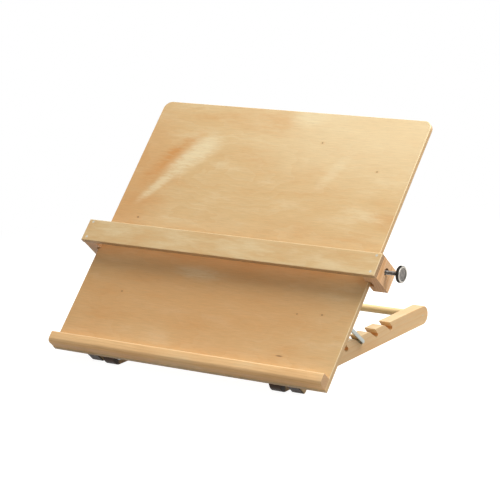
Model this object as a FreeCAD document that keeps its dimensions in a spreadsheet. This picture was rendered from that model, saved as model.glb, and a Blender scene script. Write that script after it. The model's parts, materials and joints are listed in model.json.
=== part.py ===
import FreeCAD, Part
import math
import os
import Sketcher
from FreeCAD import Placement, Rotation, Vector

# A folding wooden reading stand. A plywood board leans back on a bail of bent
# wire, whose crossbar lies in notches along two flat arms. A ledge carries the
# book, and a sliding bar, clamped by a thumb screw, holds the pages down.
# Lengths are in millimetres and angles in degrees. +X is to the reader's right,
# +Y points away from the reader and +Z is up.

# Driving sizes: name, value, what it is.
SIZES = (
    ("board_width", 400.0, "reading board, side to side"),
    ("board_length", 370.0, "reading board, bottom edge to top edge"),
    ("board_thickness", 6.5, "birch plywood of the reading board"),
    ("board_corner_radius", 11.0, "rounded top corners of the board"),
    ("board_arris", 0.6, "sanded edges of the board"),
    ("board_angle", 45.7, "angle of the board above the table"),
    ("ledge_height", 14.5, "ledge, measured up the board"),
    ("ledge_depth", 14.0, "ledge, measured out from the board"),
    ("ledge_inset", 0.5, "ledge above the board's bottom edge"),
    ("ledge_nose_radius", 3.0, "rounded lower front corner of the ledge"),
    ("ledge_arris", 0.8, "sanded upper corners of the ledge"),
    ("stock_width", 16.0, "bar stock of arms and battens, side to side"),
    ("stock_depth", 24.0, "bar stock of arms and battens, the other way"),
    ("stock_arris", 0.5, "sanded long edges of arms and battens"),
    ("arm_inset", 69.35, "board's side edge to the arm's outer face"),
    ("arm_length", 341.4, "arm, rounded end to rounded end"),
    ("notch_count", 4.0, "notches in each arm"),
    ("used_notch_count", 3.0, "notches from the rear one to the one that holds the prop"),
    ("notch_from_end", 95.0, "arm's rear end to the lip of the rear notch"),
    ("notch_pitch", 34.5, "one notch to the next"),
    ("notch_slot_width", 6.2, "undercut slot at the bottom of a notch"),
    ("notch_depth", 8.4, "arm's top to the centre of the slot's round end"),
    ("notch_undercut", 3.3, "slot's centre behind the lip"),
    ("notch_mouth", 13.0, "opening of a notch along the arm's top"),
    ("notch_shoulder_radius", 10.0, "rounded front shoulder of a notch"),
    ("dowel_diameter", 10.0, "round rail between the arms' rear ends"),
    ("dowel_from_end", 13.0, "arm's rear end to the dowel's axis"),
    ("dowel_height", 12.0, "dowel's axis above the table"),
    ("dowel_socket_depth", 8.0, "blind hole for the dowel in each arm"),
    ("dowel_fit_gap", 0.05, "dowel's end short of the socket's floor"),
    ("brad_diameter", 1.8, "headless brad through the arm into the dowel"),
    ("brad_length", 24.0, "headless brad, set flush with the arm"),
    ("pivot_up", 12.0, "board's bottom edge to the pivot, up the board"),
    ("pivot_behind", 14.5, "board's back to the pivot"),
    ("pivot_bolt_diameter", 5.0, "bolt that the board turns on"),
    ("pivot_bore_gap", 0.05, "bolt's side to its hole in the arm"),
    ("pivot_face_gap", 0.1, "flat faces that turn on each other"),
    ("pivot_head_diameter", 9.5, "head of the pivot bolt"),
    ("pivot_head_height", 3.2, "head of the pivot bolt"),
    ("pivot_head_crown", 5.0, "flat top of the head, inside its sloping rim"),
    ("pivot_head_side", 1.4, "straight side of the head, under its sloping rim"),
    ("pivot_thread_past_nut", 1.5, "bolt's end beyond the nut"),
    ("spacer_diameter", 10.0, "sleeve between batten and arm"),
    ("washer_diameter", 12.0, "washer between arm and nut"),
    ("washer_thickness", 1.0, "washer between arm and nut"),
    ("nut_across_flats", 8.0, "lock nut on the pivot bolt"),
    ("nut_height", 5.0, "lock nut on the pivot bolt"),
    ("batten_length", 150.0, "batten on the board's back"),
    ("batten_inset", 3.5, "batten's lower end above the board's bottom edge"),
    ("batten_corner_radius", 4.0, "lower rear corner of a batten"),
    ("prop_pivot_up", 123.0, "board's bottom edge to the prop's pivot"),
    ("prop_wire_diameter", 5.0, "steel wire of the prop"),
    ("prop_bend_radius", 6.0, "bends of the wire, on its centre line"),
    ("prop_side_gap", 0.85, "prop's leg to the arm's outer face"),
    ("prop_hole_depth", 12.0, "hole for the prop's end in the batten"),
    ("prop_bore_gap", 0.05, "wire's side to its hole"),
    ("prop_end_gap", 0.5, "wire's end short of the hole's floor"),
    ("guide_overhang", 16.2, "page guide's end beyond the board's side edge"),
    ("guide_height", 30.5, "page guide's plate, up the board"),
    ("guide_thickness", 6.5, "birch plywood of the page guide"),
    ("guide_arris", 0.6, "sanded edges of the page guide"),
    ("guide_up", 143.2, "board's bottom edge to the guide's lower edge"),
    ("guide_gap", 12.5, "board's face to the back of the guide's plate"),
    ("block_cover", 3.8, "end block's reach over the board, in from its side edge"),
    ("block_height", 29.5, "end block of the guide, up the board"),
    ("block_behind", 15.5, "end block's reach behind the board's back"),
    ("groove_edge_gap", 3.5, "board's side edge to the groove's floor"),
    ("groove_front_gap", 0.5, "groove's front wall to the board's face"),
    ("groove_rear_gap", 3.0, "groove's rear wall to the board's back"),
    ("nail_diameter", 1.6, "nails through the guide's plate"),
    ("nail_length", 24.0, "nails, with their heads"),
    ("nail_head_diameter", 3.4, "flat head of a nail"),
    ("nail_head_height", 0.7, "flat head of a nail, set flush"),
    ("nail_from_end", 6.7, "plate's end to the nails"),
    ("nail_from_top", 3.6, "plate's upper edge to the upper nail"),
    ("nail_from_bottom", 5.2, "plate's lower edge to the lower nail"),
    ("insert_diameter", 8.0, "threaded insert in the right block"),
    ("insert_recess_diameter", 10.0, "mouth of the insert's hole"),
    ("insert_recess_depth", 2.5, "mouth of the insert's hole"),
    ("screw_diameter", 5.0, "shank of the thumb screw"),
    ("screw_bore_gap", 0.05, "shank's side to the insert's bore"),
    ("screw_from_top", 12.6, "block's top face to the screw's axis"),
    ("screw_tip_gap", 0.2, "screw's tip to the board's edge"),
    ("screw_standoff", 17.3, "block's outer face to the screw's head"),
    ("screw_head_diameter", 20.3, "knurled head of the thumb screw"),
    ("screw_head_height", 4.8, "knurled head of the thumb screw"),
    ("screw_dish_diameter", 15.0, "dished face of the head"),
    ("screw_dish_depth", 0.6, "dished face of the head"),
)

# A cut that takes less than this many cubic millimetres has missed its piece.
SMALLEST_CUT = 0.5
# How far a cutting profile stands above the face that it opens.
CUT_RISE = 2.0
# How near a point must be to a line or face to be called on it.
TOUCH = 0.01

RIGHT = 1
LEFT = -1
SIDE_NAMES = {RIGHT: "right", LEFT: "left"}

doc = FreeCAD.newDocument("reading_stand")
pieces = {}


def make_sheet(name, rows):
    """Put name, value and meaning of each size in a sheet's three columns."""
    table = doc.addObject("Spreadsheet::Sheet", name)
    for row, (alias, value, meaning) in enumerate(rows, start=1):
        table.set("A%d" % row, alias)
        table.set("B%d" % row, repr(float(value)))
        table.setAlias("B%d" % row, alias)
        table.set("C%d" % row, meaning)
    doc.recompute()
    return table


sheet = make_sheet("Sizes", SIZES)


def size(name):
    """The value of one driving size."""
    return float(sheet.get(name))


def work_out_fits():
    """Sizes that follow from the driving ones, so that pieces meet."""
    board_edge = size("board_width") / 2
    arm_outer = board_edge - size("arm_inset")
    prop_leg = arm_outer + size("prop_side_gap") + size("prop_wire_diameter") / 2
    batten_inner = prop_leg + size("prop_bend_radius")
    prop_end = batten_inner + size("prop_hole_depth") - size("prop_end_gap")
    guide_top = size("guide_up") + size("guide_height")
    bolt_grip = size("stock_width") * 2 + batten_inner - arm_outer
    bolt_grip += size("pivot_face_gap") + size("washer_thickness")
    bolt_length = bolt_grip + size("nut_height") + size("pivot_thread_past_nut")
    block_wall = size("guide_overhang") - size("groove_edge_gap")
    insert_length = block_wall - size("insert_recess_depth")
    screw_reach = size("screw_standoff") + size("guide_overhang")
    return (
        ("arm_outer", arm_outer, "outer face of an arm"),
        ("arm_inner", arm_outer - size("stock_width"), "inner face of an arm"),
        ("prop_leg", prop_leg, "centre line of the prop's leg"),
        ("batten_inner", batten_inner, "inner face of a batten"),
        ("prop_end", prop_end, "end of the prop's wire in the batten"),
        ("prop_reach", prop_leg_length(), "prop's pivot to its crossbar"),
        ("prop_pivot_behind", size("stock_depth") / 2, "board's back to the prop's pivot"),
        ("bolt_grip", bolt_grip, "head of the pivot bolt to its nut"),
        ("bolt_length", bolt_length, "pivot bolt below its head"),
        ("guide_end", board_edge + size("guide_overhang"), "end face of the page guide"),
        ("guide_top", guide_top, "upper edge of the page guide"),
        ("block_inner", board_edge - size("block_cover"), "inner face of an end block"),
        ("block_width", size("guide_overhang") + size("block_cover"), "end block, side to side"),
        ("block_wall", block_wall, "end block outside its groove"),
        ("groove_depth", size("block_cover") + size("groove_edge_gap"), "groove for the board's edge"),
        ("insert_length", insert_length, "threaded insert"),
        ("screw_length", screw_reach - size("screw_tip_gap"), "thumb screw below its head"),
        ("screw_up", guide_top - size("screw_from_top"), "height of the screw's axis"),
    )


def board_direction(up, out):
    """A step up the board and out from its face, as a vector."""
    angle = math.radians(size("board_angle"))
    along = Vector(0, math.cos(angle), math.sin(angle)) * up
    away = Vector(0, -math.sin(angle), math.cos(angle)) * out
    return along + away


def pivot_point():
    """The arms' front ends are half round, and the pivot is at their centre."""
    return Vector(0, size("stock_depth") / 2, size("stock_depth") / 2)


def on_board(up, out):
    """A point of the board's own frame, whose origin is its lower front edge."""
    behind = size("board_thickness") + size("pivot_behind")
    return pivot_point() + board_direction(up - size("pivot_up"), out + behind)


def prop_pivot():
    """The axis on which the prop swings, in the battens' mid depth."""
    out = -size("board_thickness") - size("stock_depth") / 2
    return on_board(size("prop_pivot_up"), out)


def slot_centre(number):
    """Centre of the slot of one notch, counted from the arm's rear end."""
    lip = size("arm_length") - size("notch_from_end") - (number - 1) * size("notch_pitch")
    return Vector(0, lip + size("notch_undercut"), size("stock_depth") - size("notch_depth"))


def prop_leg_length():
    """The crossbar lies in the middle of the slot of the notch in use."""
    return (slot_centre(size("used_notch_count")) - prop_pivot()).Length


fits = make_sheet("Fits", work_out_fits())


def fit(name):
    """The value of one size that was worked out."""
    return float(fits.get(name))


def evaluate(holder, expression):
    """The number that an expression gives now."""
    return float(holder.evalExpression(expression))


def new_body(name):
    """An empty body that will become one sub-part."""
    body = doc.addObject("PartDesign::Body", name)
    body.Label = name
    pieces[name] = body
    return body


def new_sketch(body, role, name, offset=None):
    """A sketch on one of the body's own origin planes, or parallel to it."""
    sketch = body.newObject("Sketcher::SketchObject", name)
    plane = next(f for f in body.Origin.OriginFeatures if f.Role == role)
    sketch.AttachmentSupport = (plane, [""])
    sketch.MapMode = "FlatFace"
    if offset:
        sketch.setExpression("AttachmentOffset.Base.z", offset)
    return sketch


def tie(sketch, constraint, expression):
    """Add a constraint whose value is an expression."""
    index = sketch.addConstraint(constraint)
    sketch.setExpression("Constraints[%d]" % index, expression)


def tie_point(sketch, geometry, point, across, up):
    """Hold a point at two distances from the sketch's origin."""
    for kind, expression in (("DistanceX", across), ("DistanceY", up)):
        value = evaluate(sketch, expression)
        constraint = Sketcher.Constraint(kind, -1, 1, geometry, point, value)
        tie(sketch, constraint, expression)


def draw_outline(sketch, corners):
    """A closed run of straight lines through corners given as expressions."""
    spots = [Vector(evaluate(sketch, a), evaluate(sketch, b), 0) for a, b in corners]
    first = len(sketch.Geometry)
    count = len(spots)
    for i, spot in enumerate(spots):
        sketch.addGeometry(Part.LineSegment(spot, spots[(i + 1) % count]), False)
    for i in range(count):
        following = first + (i + 1) % count
        sketch.addConstraint(Sketcher.Constraint("Coincident", first + i, 2, following, 1))
    for i, (across, up) in enumerate(corners):
        tie_point(sketch, first + i, 1, across, up)


def draw_rectangle(sketch, left, bottom, right, top):
    """A rectangle between two corners given as expressions."""
    draw_outline(sketch, ((left, bottom), (right, bottom), (right, top), (left, top)))


def draw_circle(sketch, across, up, diameter):
    """A circle, its centre and diameter given as expressions."""
    centre = Vector(evaluate(sketch, across), evaluate(sketch, up), 0)
    radius = evaluate(sketch, diameter) / 2
    index = sketch.addGeometry(Part.Circle(centre, Vector(0, 0, 1), radius), False)
    tie(sketch, Sketcher.Constraint("Diameter", index, radius * 2), diameter)
    tie_point(sketch, index, 3, across, up)


def pad(body, name, sketch, length, backwards=False):
    """Raise a sketch to a solid."""
    feature = body.newObject("PartDesign::Pad", name)
    feature.Profile = sketch
    feature.setExpression("Length", length)
    feature.Reversed = backwards
    doc.recompute()
    return feature


def revolve(body, name, sketch, axis, angle, backwards=False):
    """Turn a sketch about one of its own lines."""
    feature = body.newObject("PartDesign::Revolution", name)
    feature.Profile = sketch
    feature.ReferenceAxis = (sketch, [axis])
    feature.setExpression("Angle", angle)
    feature.Reversed = backwards
    doc.recompute()
    return feature


def pocket(body, name, sketch, depth, backwards=False):
    """Cut a sketch into the body, and make sure that it takes something away."""
    before = body.Tip.Shape.Volume
    feature = body.newObject("PartDesign::Pocket", name)
    feature.Profile = sketch
    feature.setExpression("Length", depth)
    feature.Reversed = backwards
    doc.recompute()
    if feature.Shape.Volume > before - SMALLEST_CUT:
        raise RuntimeError(name + " cuts nothing")
    return feature


def middle(edge):
    """The point half way along an edge."""
    return edge.valueAt((edge.FirstParameter + edge.LastParameter) / 2)


def pick_edges(shape, wanted):
    """Names of the edges whose middle point is wanted."""
    numbered = enumerate(shape.Edges, start=1)
    names = ["Edge%d" % number for number, edge in numbered if wanted(middle(edge))]
    if not names:
        raise RuntimeError("no edge is found where %s looks" % wanted.__name__)
    return names


def round_edges(body, name, radius, wanted):
    """Round the edges whose middle point is wanted."""
    base = body.Tip
    names = pick_edges(base.Shape, wanted)
    fillet = body.newObject("PartDesign::Fillet", name)
    fillet.Base = (base, names)
    fillet.setExpression("Radius", radius)
    doc.recompute()


def break_edges(body, name, width, wanted):
    """Sand a small flat on the edges whose middle point is wanted."""
    base = body.Tip
    names = pick_edges(base.Shape, wanted)
    flat = body.newObject("PartDesign::Chamfer", name)
    flat.Base = (base, names)
    flat.setExpression("Size", width)
    doc.recompute()


def near(value, target):
    """True if two lengths are the same."""
    return abs(value - target) < TOUCH


def board_placement():
    """Placement of everything that is drawn in the board's own frame."""
    return Placement(on_board(0, 0), Rotation(Vector(1, 0, 0), size("board_angle")))


def axis_placement(centre, side):
    """Placement that turns a piece's own +Z to point outwards along X."""
    turn = Rotation(Vector(0, 0, 1), Vector(side, 0, 0))
    return Placement(centre, turn)


def make_board():
    """Plywood panel, its front face in the board's own XY plane."""
    body = new_body("board")
    sketch = new_sketch(body, "XY_Plane", "board_outline")
    draw_rectangle(sketch, "-Sizes.board_width / 2", "0", "Sizes.board_width / 2", "Sizes.board_length")
    pad(body, "board_panel", sketch, "Sizes.board_thickness", backwards=True)
    half = size("board_width") / 2
    mid = -size("board_thickness") / 2

    def is_top_corner(p):
        return near(abs(p.x), half) and near(p.y, size("board_length")) and near(p.z, mid)

    round_edges(body, "board_corners", "Sizes.board_corner_radius", is_top_corner)

    def is_on_a_face(p):
        return near(p.z, 0) or near(p.z, -size("board_thickness"))

    break_edges(body, "board_sanding", "Sizes.board_arris", is_on_a_face)
    body.Placement = board_placement()


def make_ledge():
    """Square strip along the board's foot, with a rounded nose."""
    body = new_body("ledge")
    sketch = new_sketch(body, "YZ_Plane", "ledge_section", "-Sizes.board_width / 2")
    top = "Sizes.ledge_inset + Sizes.ledge_height"
    draw_rectangle(sketch, "Sizes.ledge_inset", "0", top, "Sizes.ledge_depth")
    pad(body, "ledge_strip", sketch, "Sizes.board_width")
    low = size("ledge_inset")
    high = low + size("ledge_height")

    def is_nose(p):
        return near(p.y, low) and near(p.z, size("ledge_depth"))

    def is_upper_arris(p):
        return near(p.y, high) and near(p.z, size("ledge_depth"))

    round_edges(body, "ledge_nose", "Sizes.ledge_nose_radius", is_nose)
    break_edges(body, "ledge_sanding", "Sizes.ledge_arris", is_upper_arris)
    body.Placement = board_placement()


def make_batten(side):
    """Bar glued to the board's back, which carries both pivots of one side."""
    body = new_body("batten_" + SIDE_NAMES[side])
    inner = "%d * Fits.batten_inner" % side
    sketch = new_sketch(body, "YZ_Plane", body.Name + "_section", inner)
    back = "-Sizes.board_thickness"
    rear = back + " - Sizes.stock_depth"
    high = "Sizes.batten_inset + Sizes.batten_length"
    draw_rectangle(sketch, "Sizes.batten_inset", rear, high, back)
    pad(body, body.Name + "_bar", sketch, "Sizes.stock_width", backwards=side == LEFT)
    rear_face = -size("board_thickness") - size("stock_depth")
    low = size("batten_inset")
    end = low + size("batten_length")

    def is_rear_corner(p):
        return near(p.z, rear_face) and (near(p.y, low) or near(p.y, end))

    round_edges(body, body.Name + "_corner", "Sizes.batten_corner_radius", is_rear_corner)

    def is_long_edge(p):
        return near(p.z, rear_face) and near(p.y, (low + end) / 2)

    break_edges(body, body.Name + "_sanding", "Sizes.stock_arris", is_long_edge)
    bolt_hole = new_sketch(body, "YZ_Plane", body.Name + "_bolt_circle", inner)
    draw_circle(bolt_hole, "Sizes.pivot_up", back + " - Sizes.pivot_behind", "Sizes.pivot_bolt_diameter")
    pocket(body, body.Name + "_bolt_hole", bolt_hole, "Sizes.stock_width", backwards=side == RIGHT)
    wire_hole = new_sketch(body, "YZ_Plane", body.Name + "_wire_circle", inner)
    wire = "Sizes.prop_wire_diameter + 2 * Sizes.prop_bore_gap"
    draw_circle(wire_hole, "Sizes.prop_pivot_up", back + " - Fits.prop_pivot_behind", wire)
    pocket(body, body.Name + "_wire_hole", wire_hole, "Sizes.prop_hole_depth", backwards=side == RIGHT)
    body.Placement = board_placement()


def draw_arm_outline(sketch):
    """A long slot shape: two straight sides between two half circles."""
    radius = size("stock_depth") / 2
    far = size("arm_length") - radius
    up = Vector(0, 0, 1)
    front = Part.Circle(Vector(radius, radius, 0), up, radius)
    rear = Part.Circle(Vector(far, radius, 0), up, radius)
    bottom = Part.LineSegment(Vector(radius, 0, 0), Vector(far, 0, 0))
    top = Part.LineSegment(Vector(far, 2 * radius, 0), Vector(radius, 2 * radius, 0))
    quarter = math.pi / 2
    sketch.addGeometry(bottom, False)
    sketch.addGeometry(Part.ArcOfCircle(rear, -quarter, quarter), False)
    sketch.addGeometry(top, False)
    sketch.addGeometry(Part.ArcOfCircle(front, quarter, 3 * quarter), False)
    for line, line_end, arc, arc_end in ((0, 2, 1, 1), (2, 1, 1, 2), (2, 2, 3, 1), (0, 1, 3, 2)):
        sketch.addConstraint(Sketcher.Constraint("Tangent", line, line_end, arc, arc_end))
    tie_point(sketch, 3, 3, "Sizes.stock_depth / 2", "Sizes.stock_depth / 2")
    tie(sketch, Sketcher.Constraint("Radius", 3, radius), "Sizes.stock_depth / 2")
    far_side = "Sizes.arm_length - Sizes.stock_depth / 2"
    tie(sketch, Sketcher.Constraint("DistanceX", -1, 1, 1, 3, far), far_side)
    sketch.addConstraint(Sketcher.Constraint("Horizontal", 0))


def draw_notch(sketch):
    """A notch with an undercut rear wall, a round slot and a sloping front."""
    lip = size("arm_length") - size("notch_from_end")
    top = size("stock_depth")
    radius = size("notch_slot_width") / 2
    centre = Vector(lip + size("notch_undercut"), top - size("notch_depth"), 0)
    rear_edge = Vector(lip, top, 0)
    front_edge = Vector(lip - size("notch_mouth"), top, 0)
    rise = Vector(0, CUT_RISE, 0)
    wall_foot = tangent_point(centre, radius, rear_edge, -1)
    ramp_foot = tangent_point(centre, radius, front_edge, 1)
    start = math.atan2(ramp_foot.y - centre.y, ramp_foot.x - centre.x)
    finish = math.atan2(wall_foot.y - centre.y, wall_foot.x - centre.x)
    circle = Part.Circle(centre, Vector(0, 0, 1), radius)
    sketch.addGeometry(Part.ArcOfCircle(circle, start, finish), False)
    sketch.addGeometry(Part.LineSegment(wall_foot, rear_edge), False)
    sketch.addGeometry(Part.LineSegment(rear_edge, rear_edge + rise), False)
    sketch.addGeometry(Part.LineSegment(rear_edge + rise, front_edge + rise), False)
    sketch.addGeometry(Part.LineSegment(front_edge + rise, front_edge), False)
    sketch.addGeometry(Part.LineSegment(front_edge, ramp_foot), False)
    sketch.addConstraint(Sketcher.Constraint("Tangent", 0, 2, 1, 1))
    sketch.addConstraint(Sketcher.Constraint("Tangent", 5, 2, 0, 1))
    for first, second in ((1, 2), (2, 3), (3, 4), (4, 5)):
        sketch.addConstraint(Sketcher.Constraint("Coincident", first, 2, second, 1))
    lip_at = "Sizes.arm_length - Sizes.notch_from_end"
    slot_at = lip_at + " + Sizes.notch_undercut"
    tie_point(sketch, 0, 3, slot_at, "Sizes.stock_depth - Sizes.notch_depth")
    tie(sketch, Sketcher.Constraint("Radius", 0, radius), "Sizes.notch_slot_width / 2")
    tie_point(sketch, 2, 1, lip_at, "Sizes.stock_depth")
    tie_point(sketch, 5, 1, lip_at + " - Sizes.notch_mouth", "Sizes.stock_depth")
    sketch.addConstraint(Sketcher.Constraint("Vertical", 2))
    sketch.addConstraint(Sketcher.Constraint("Horizontal", 3))
    sketch.addConstraint(Sketcher.Constraint("Vertical", 4))
    sketch.addConstraint(Sketcher.Constraint("DistanceY", 2, 1, 2, 2, CUT_RISE))


def tangent_point(centre, radius, outside, turn):
    """Where a line from a point outside a circle touches it, on one side."""
    away = outside - centre
    swing = math.acos(radius / away.Length) * turn
    heading = math.atan2(away.y, away.x) + swing
    return centre + Vector(math.cos(heading), math.sin(heading), 0) * radius


def make_arm(side):
    """Arm that lies on the table: pivot hole in front, notches, dowel socket."""
    body = new_body("arm_" + SIDE_NAMES[side])
    inner = "%d * Fits.arm_inner" % side
    outer = "%d * Fits.arm_outer" % side
    outline = new_sketch(body, "YZ_Plane", body.Name + "_outline", inner)
    draw_arm_outline(outline)
    pad(body, body.Name + "_bar", outline, "Sizes.stock_width", backwards=side == LEFT)

    def is_on_a_side(p):
        return near(abs(p.x), fit("arm_inner")) or near(abs(p.x), fit("arm_outer"))

    break_edges(body, body.Name + "_sanding", "Sizes.stock_arris", is_on_a_side)
    notch = new_sketch(body, "YZ_Plane", body.Name + "_notch_outline", inner)
    draw_notch(notch)
    first = pocket(body, body.Name + "_notch", notch, "Sizes.stock_width", backwards=side == RIGHT)
    row = body.newObject("PartDesign::LinearPattern", body.Name + "_notches")
    row.Originals = [first]
    row.Direction = (notch, ["H_Axis"])
    row.Reversed = True
    row.Mode = "Spacing"
    row.setExpression("Offset", "Sizes.notch_pitch")
    row.setExpression("Occurrences", "Sizes.notch_count")
    body.Tip = row
    doc.recompute()
    rear_front_edge = size("arm_length") - size("notch_from_end") - size("notch_mouth")

    def is_shoulder(p):
        steps = (rear_front_edge - p.y) / size("notch_pitch")
        return near(p.z, size("stock_depth")) and near(steps, round(steps)) and 0 <= round(steps)

    round_edges(body, body.Name + "_shoulders", "Sizes.notch_shoulder_radius", is_shoulder)
    bolt_hole = new_sketch(body, "YZ_Plane", body.Name + "_bolt_circle", inner)
    bolt = "Sizes.pivot_bolt_diameter + 2 * Sizes.pivot_bore_gap"
    draw_circle(bolt_hole, "Sizes.stock_depth / 2", "Sizes.stock_depth / 2", bolt)
    pocket(body, body.Name + "_bolt_hole", bolt_hole, "Sizes.stock_width", backwards=side == RIGHT)
    dowel_at = "Sizes.arm_length - Sizes.dowel_from_end"
    socket = new_sketch(body, "YZ_Plane", body.Name + "_socket_circle", inner)
    draw_circle(socket, dowel_at, "Sizes.dowel_height", "Sizes.dowel_diameter")
    pocket(body, body.Name + "_socket", socket, "Sizes.dowel_socket_depth", backwards=side == RIGHT)
    brad_hole = new_sketch(body, "YZ_Plane", body.Name + "_brad_circle", outer)
    draw_circle(brad_hole, dowel_at, "Sizes.dowel_height", "Sizes.brad_diameter")
    pocket(body, body.Name + "_brad_hole", brad_hole, "Sizes.stock_width", backwards=side == LEFT)


def make_rear_dowel():
    """Round rail that holds the arms apart, drilled for a brad at each end."""
    body = new_body("rear_dowel")
    end = "Fits.arm_inner + Sizes.dowel_socket_depth - Sizes.dowel_fit_gap"
    dowel_at = "Sizes.arm_length - Sizes.dowel_from_end"
    circle = new_sketch(body, "YZ_Plane", "dowel_circle", "-(%s)" % end)
    draw_circle(circle, dowel_at, "Sizes.dowel_height", "Sizes.dowel_diameter")
    pad(body, "dowel_rod", circle, "2 * (%s)" % end)
    for side in (RIGHT, LEFT):
        name = "dowel_brad_" + SIDE_NAMES[side]
        drill = new_sketch(body, "YZ_Plane", name + "_circle", "%d * (%s)" % (side, end))
        draw_circle(drill, dowel_at, "Sizes.dowel_height", "Sizes.brad_diameter")
        past_socket = "Sizes.stock_width - Sizes.dowel_socket_depth + Sizes.dowel_fit_gap"
        pocket(body, name, drill, "Sizes.brad_length - (%s)" % past_socket, backwards=side == LEFT)


def make_rod(name, diameter, length):
    """A plain round rod standing on its own XY plane."""
    rod = doc.addObject("Part::Cylinder", name)
    rod.Label = name
    rod.setExpression("Radius", "(%s) / 2" % diameter)
    rod.setExpression("Height", length)
    return rod


def make_tube(name, outer, bore, length):
    """A rod with a hole along its axis."""
    tube = doc.addObject("Part::Cut", name)
    tube.Label = name
    tube.Base = make_rod(name + "_outside", outer, length)
    tube.Tool = make_rod(name + "_bore", bore, length)
    pieces[name] = tube
    return tube


def make_brad(side):
    """Headless brad driven through the arm into the dowel's end."""
    name = "dowel_brad_" + SIDE_NAMES[side]
    brad = make_rod(name, "Sizes.brad_diameter", "Sizes.brad_length")
    pieces[name] = brad
    along = size("arm_length") - size("dowel_from_end")
    face = Vector(side * fit("arm_outer"), along, size("dowel_height"))
    brad.Placement = axis_placement(face, -side)


def make_pivot_bolt(side):
    """Round-headed bolt through batten, sleeve, arm, washer and nut."""
    body = new_body("pivot_bolt_" + SIDE_NAMES[side])
    sketch = new_sketch(body, "XZ_Plane", body.Name + "_half_section")
    shank = "Sizes.pivot_bolt_diameter / 2"
    rim = "Sizes.pivot_head_diameter / 2"
    crown = "Sizes.pivot_head_crown / 2"
    top = "Sizes.pivot_head_height"
    corners = (("0", "-Fits.bolt_length"), (shank, "-Fits.bolt_length"), (shank, "0"))
    corners += ((rim, "0"), (rim, "Sizes.pivot_head_side"), (crown, top), ("0", top))
    draw_outline(sketch, corners)
    revolve(body, body.Name + "_turned", sketch, "V_Axis", "360")
    at = pivot_point() + Vector(side * (fit("batten_inner") + size("stock_width")), 0, 0)
    body.Placement = axis_placement(at, side)


def make_pivot_spacer(side):
    """Sleeve on the bolt that keeps room for the prop's leg."""
    name = "pivot_spacer_" + SIDE_NAMES[side]
    length = "Fits.batten_inner - Fits.arm_outer - Sizes.pivot_face_gap"
    sleeve = make_tube(name, "Sizes.spacer_diameter", "Sizes.pivot_bolt_diameter", length)
    start = fit("arm_outer") + size("pivot_face_gap")
    sleeve.Placement = axis_placement(pivot_point() + Vector(side * start, 0, 0), side)


def make_pivot_washer(side):
    """Washer on the arm's inner face."""
    name = "pivot_washer_" + SIDE_NAMES[side]
    washer = make_tube(name, "Sizes.washer_diameter", "Sizes.pivot_bolt_diameter", "Sizes.washer_thickness")
    start = fit("batten_inner") + size("stock_width") - fit("bolt_grip")
    washer.Placement = axis_placement(pivot_point() + Vector(side * start, 0, 0), side)


def make_pivot_nut(side):
    """Hexagonal lock nut that holds the bolt."""
    name = "pivot_nut_" + SIDE_NAMES[side]
    nut = doc.addObject("Part::Cut", name)
    nut.Label = name
    hexagon = doc.addObject("Part::Prism", name + "_hexagon")
    hexagon.Polygon = 6
    hexagon.setExpression("Circumradius", "Sizes.nut_across_flats / sqrt(3)")
    hexagon.setExpression("Height", "Sizes.nut_height")
    nut.Base = hexagon
    nut.Tool = make_rod(name + "_thread", "Sizes.pivot_bolt_diameter", "Sizes.nut_height")
    pieces[name] = nut
    start = fit("batten_inner") + size("stock_width") - fit("bolt_grip") - size("nut_height")
    nut.Placement = axis_placement(pivot_point() + Vector(side * start, 0, 0), side)


def wire_section(body, name, role, offset, along, across="0"):
    """Round section of the prop's wire on a plane square to it."""
    section = new_sketch(body, role, name + "_circle", offset)
    spot = (along, across) if role == "YZ_Plane" else (across, along)
    draw_circle(section, spot[0], spot[1], "Sizes.prop_wire_diameter")
    return section


def bend_wire(body, name, plane, along, to_centre):
    """A quarter turn of the wire, from a plane square to X towards the leg."""
    section = wire_section(body, name, "YZ_Plane", plane, along)
    centre = "%s + %s" % (along, to_centre)
    half = size("prop_wire_diameter")
    across = evaluate(section, centre)
    axis = section.addGeometry(Part.LineSegment(Vector(across, -half, 0), Vector(across, half, 0)), True)
    tie_point(section, axis, 1, centre, "-Sizes.prop_wire_diameter")
    tie_point(section, axis, 2, centre, "Sizes.prop_wire_diameter")
    return revolve(body, name, section, "Axis0", "90", backwards=True)


def make_prop():
    """Bail of bent wire: two legs, a crossbar and ends turned out to the battens."""
    body = new_body("prop")
    bend = "Sizes.prop_bend_radius"
    crossbar_end = "Fits.prop_leg - " + bend
    crossbar = wire_section(body, "crossbar", "YZ_Plane", "0", "Fits.prop_reach")
    runs = [pad(body, "crossbar_half", crossbar, crossbar_end)]
    runs.append(bend_wire(body, "crossbar_bend", crossbar_end, "Fits.prop_reach", "-" + bend))
    leg = wire_section(body, "leg", "XZ_Plane", "-" + bend, "0", "Fits.prop_leg")
    runs.append(pad(body, "leg_run", leg, "Fits.prop_reach - 2 * " + bend, backwards=True))
    pivot_start = "Fits.prop_leg + " + bend
    runs.append(bend_wire(body, "pivot_bend", pivot_start, "0", bend))
    pivot_end = wire_section(body, "pivot_end", "YZ_Plane", pivot_start, "0")
    runs.append(pad(body, "pivot_end_run", pivot_end, "Fits.prop_end - (%s)" % pivot_start))
    other_half = body.newObject("PartDesign::Mirrored", "other_half")
    other_half.Originals = runs
    middle_plane = next(f for f in body.Origin.OriginFeatures if f.Role == "YZ_Plane")
    other_half.MirrorPlane = (middle_plane, [""])
    body.Tip = other_half
    doc.recompute()
    heading = slot_centre(size("used_notch_count")) - prop_pivot()
    angle = math.degrees(math.atan2(heading.z, heading.y))
    body.Placement = Placement(prop_pivot(), Rotation(Vector(1, 0, 0), angle))


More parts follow.
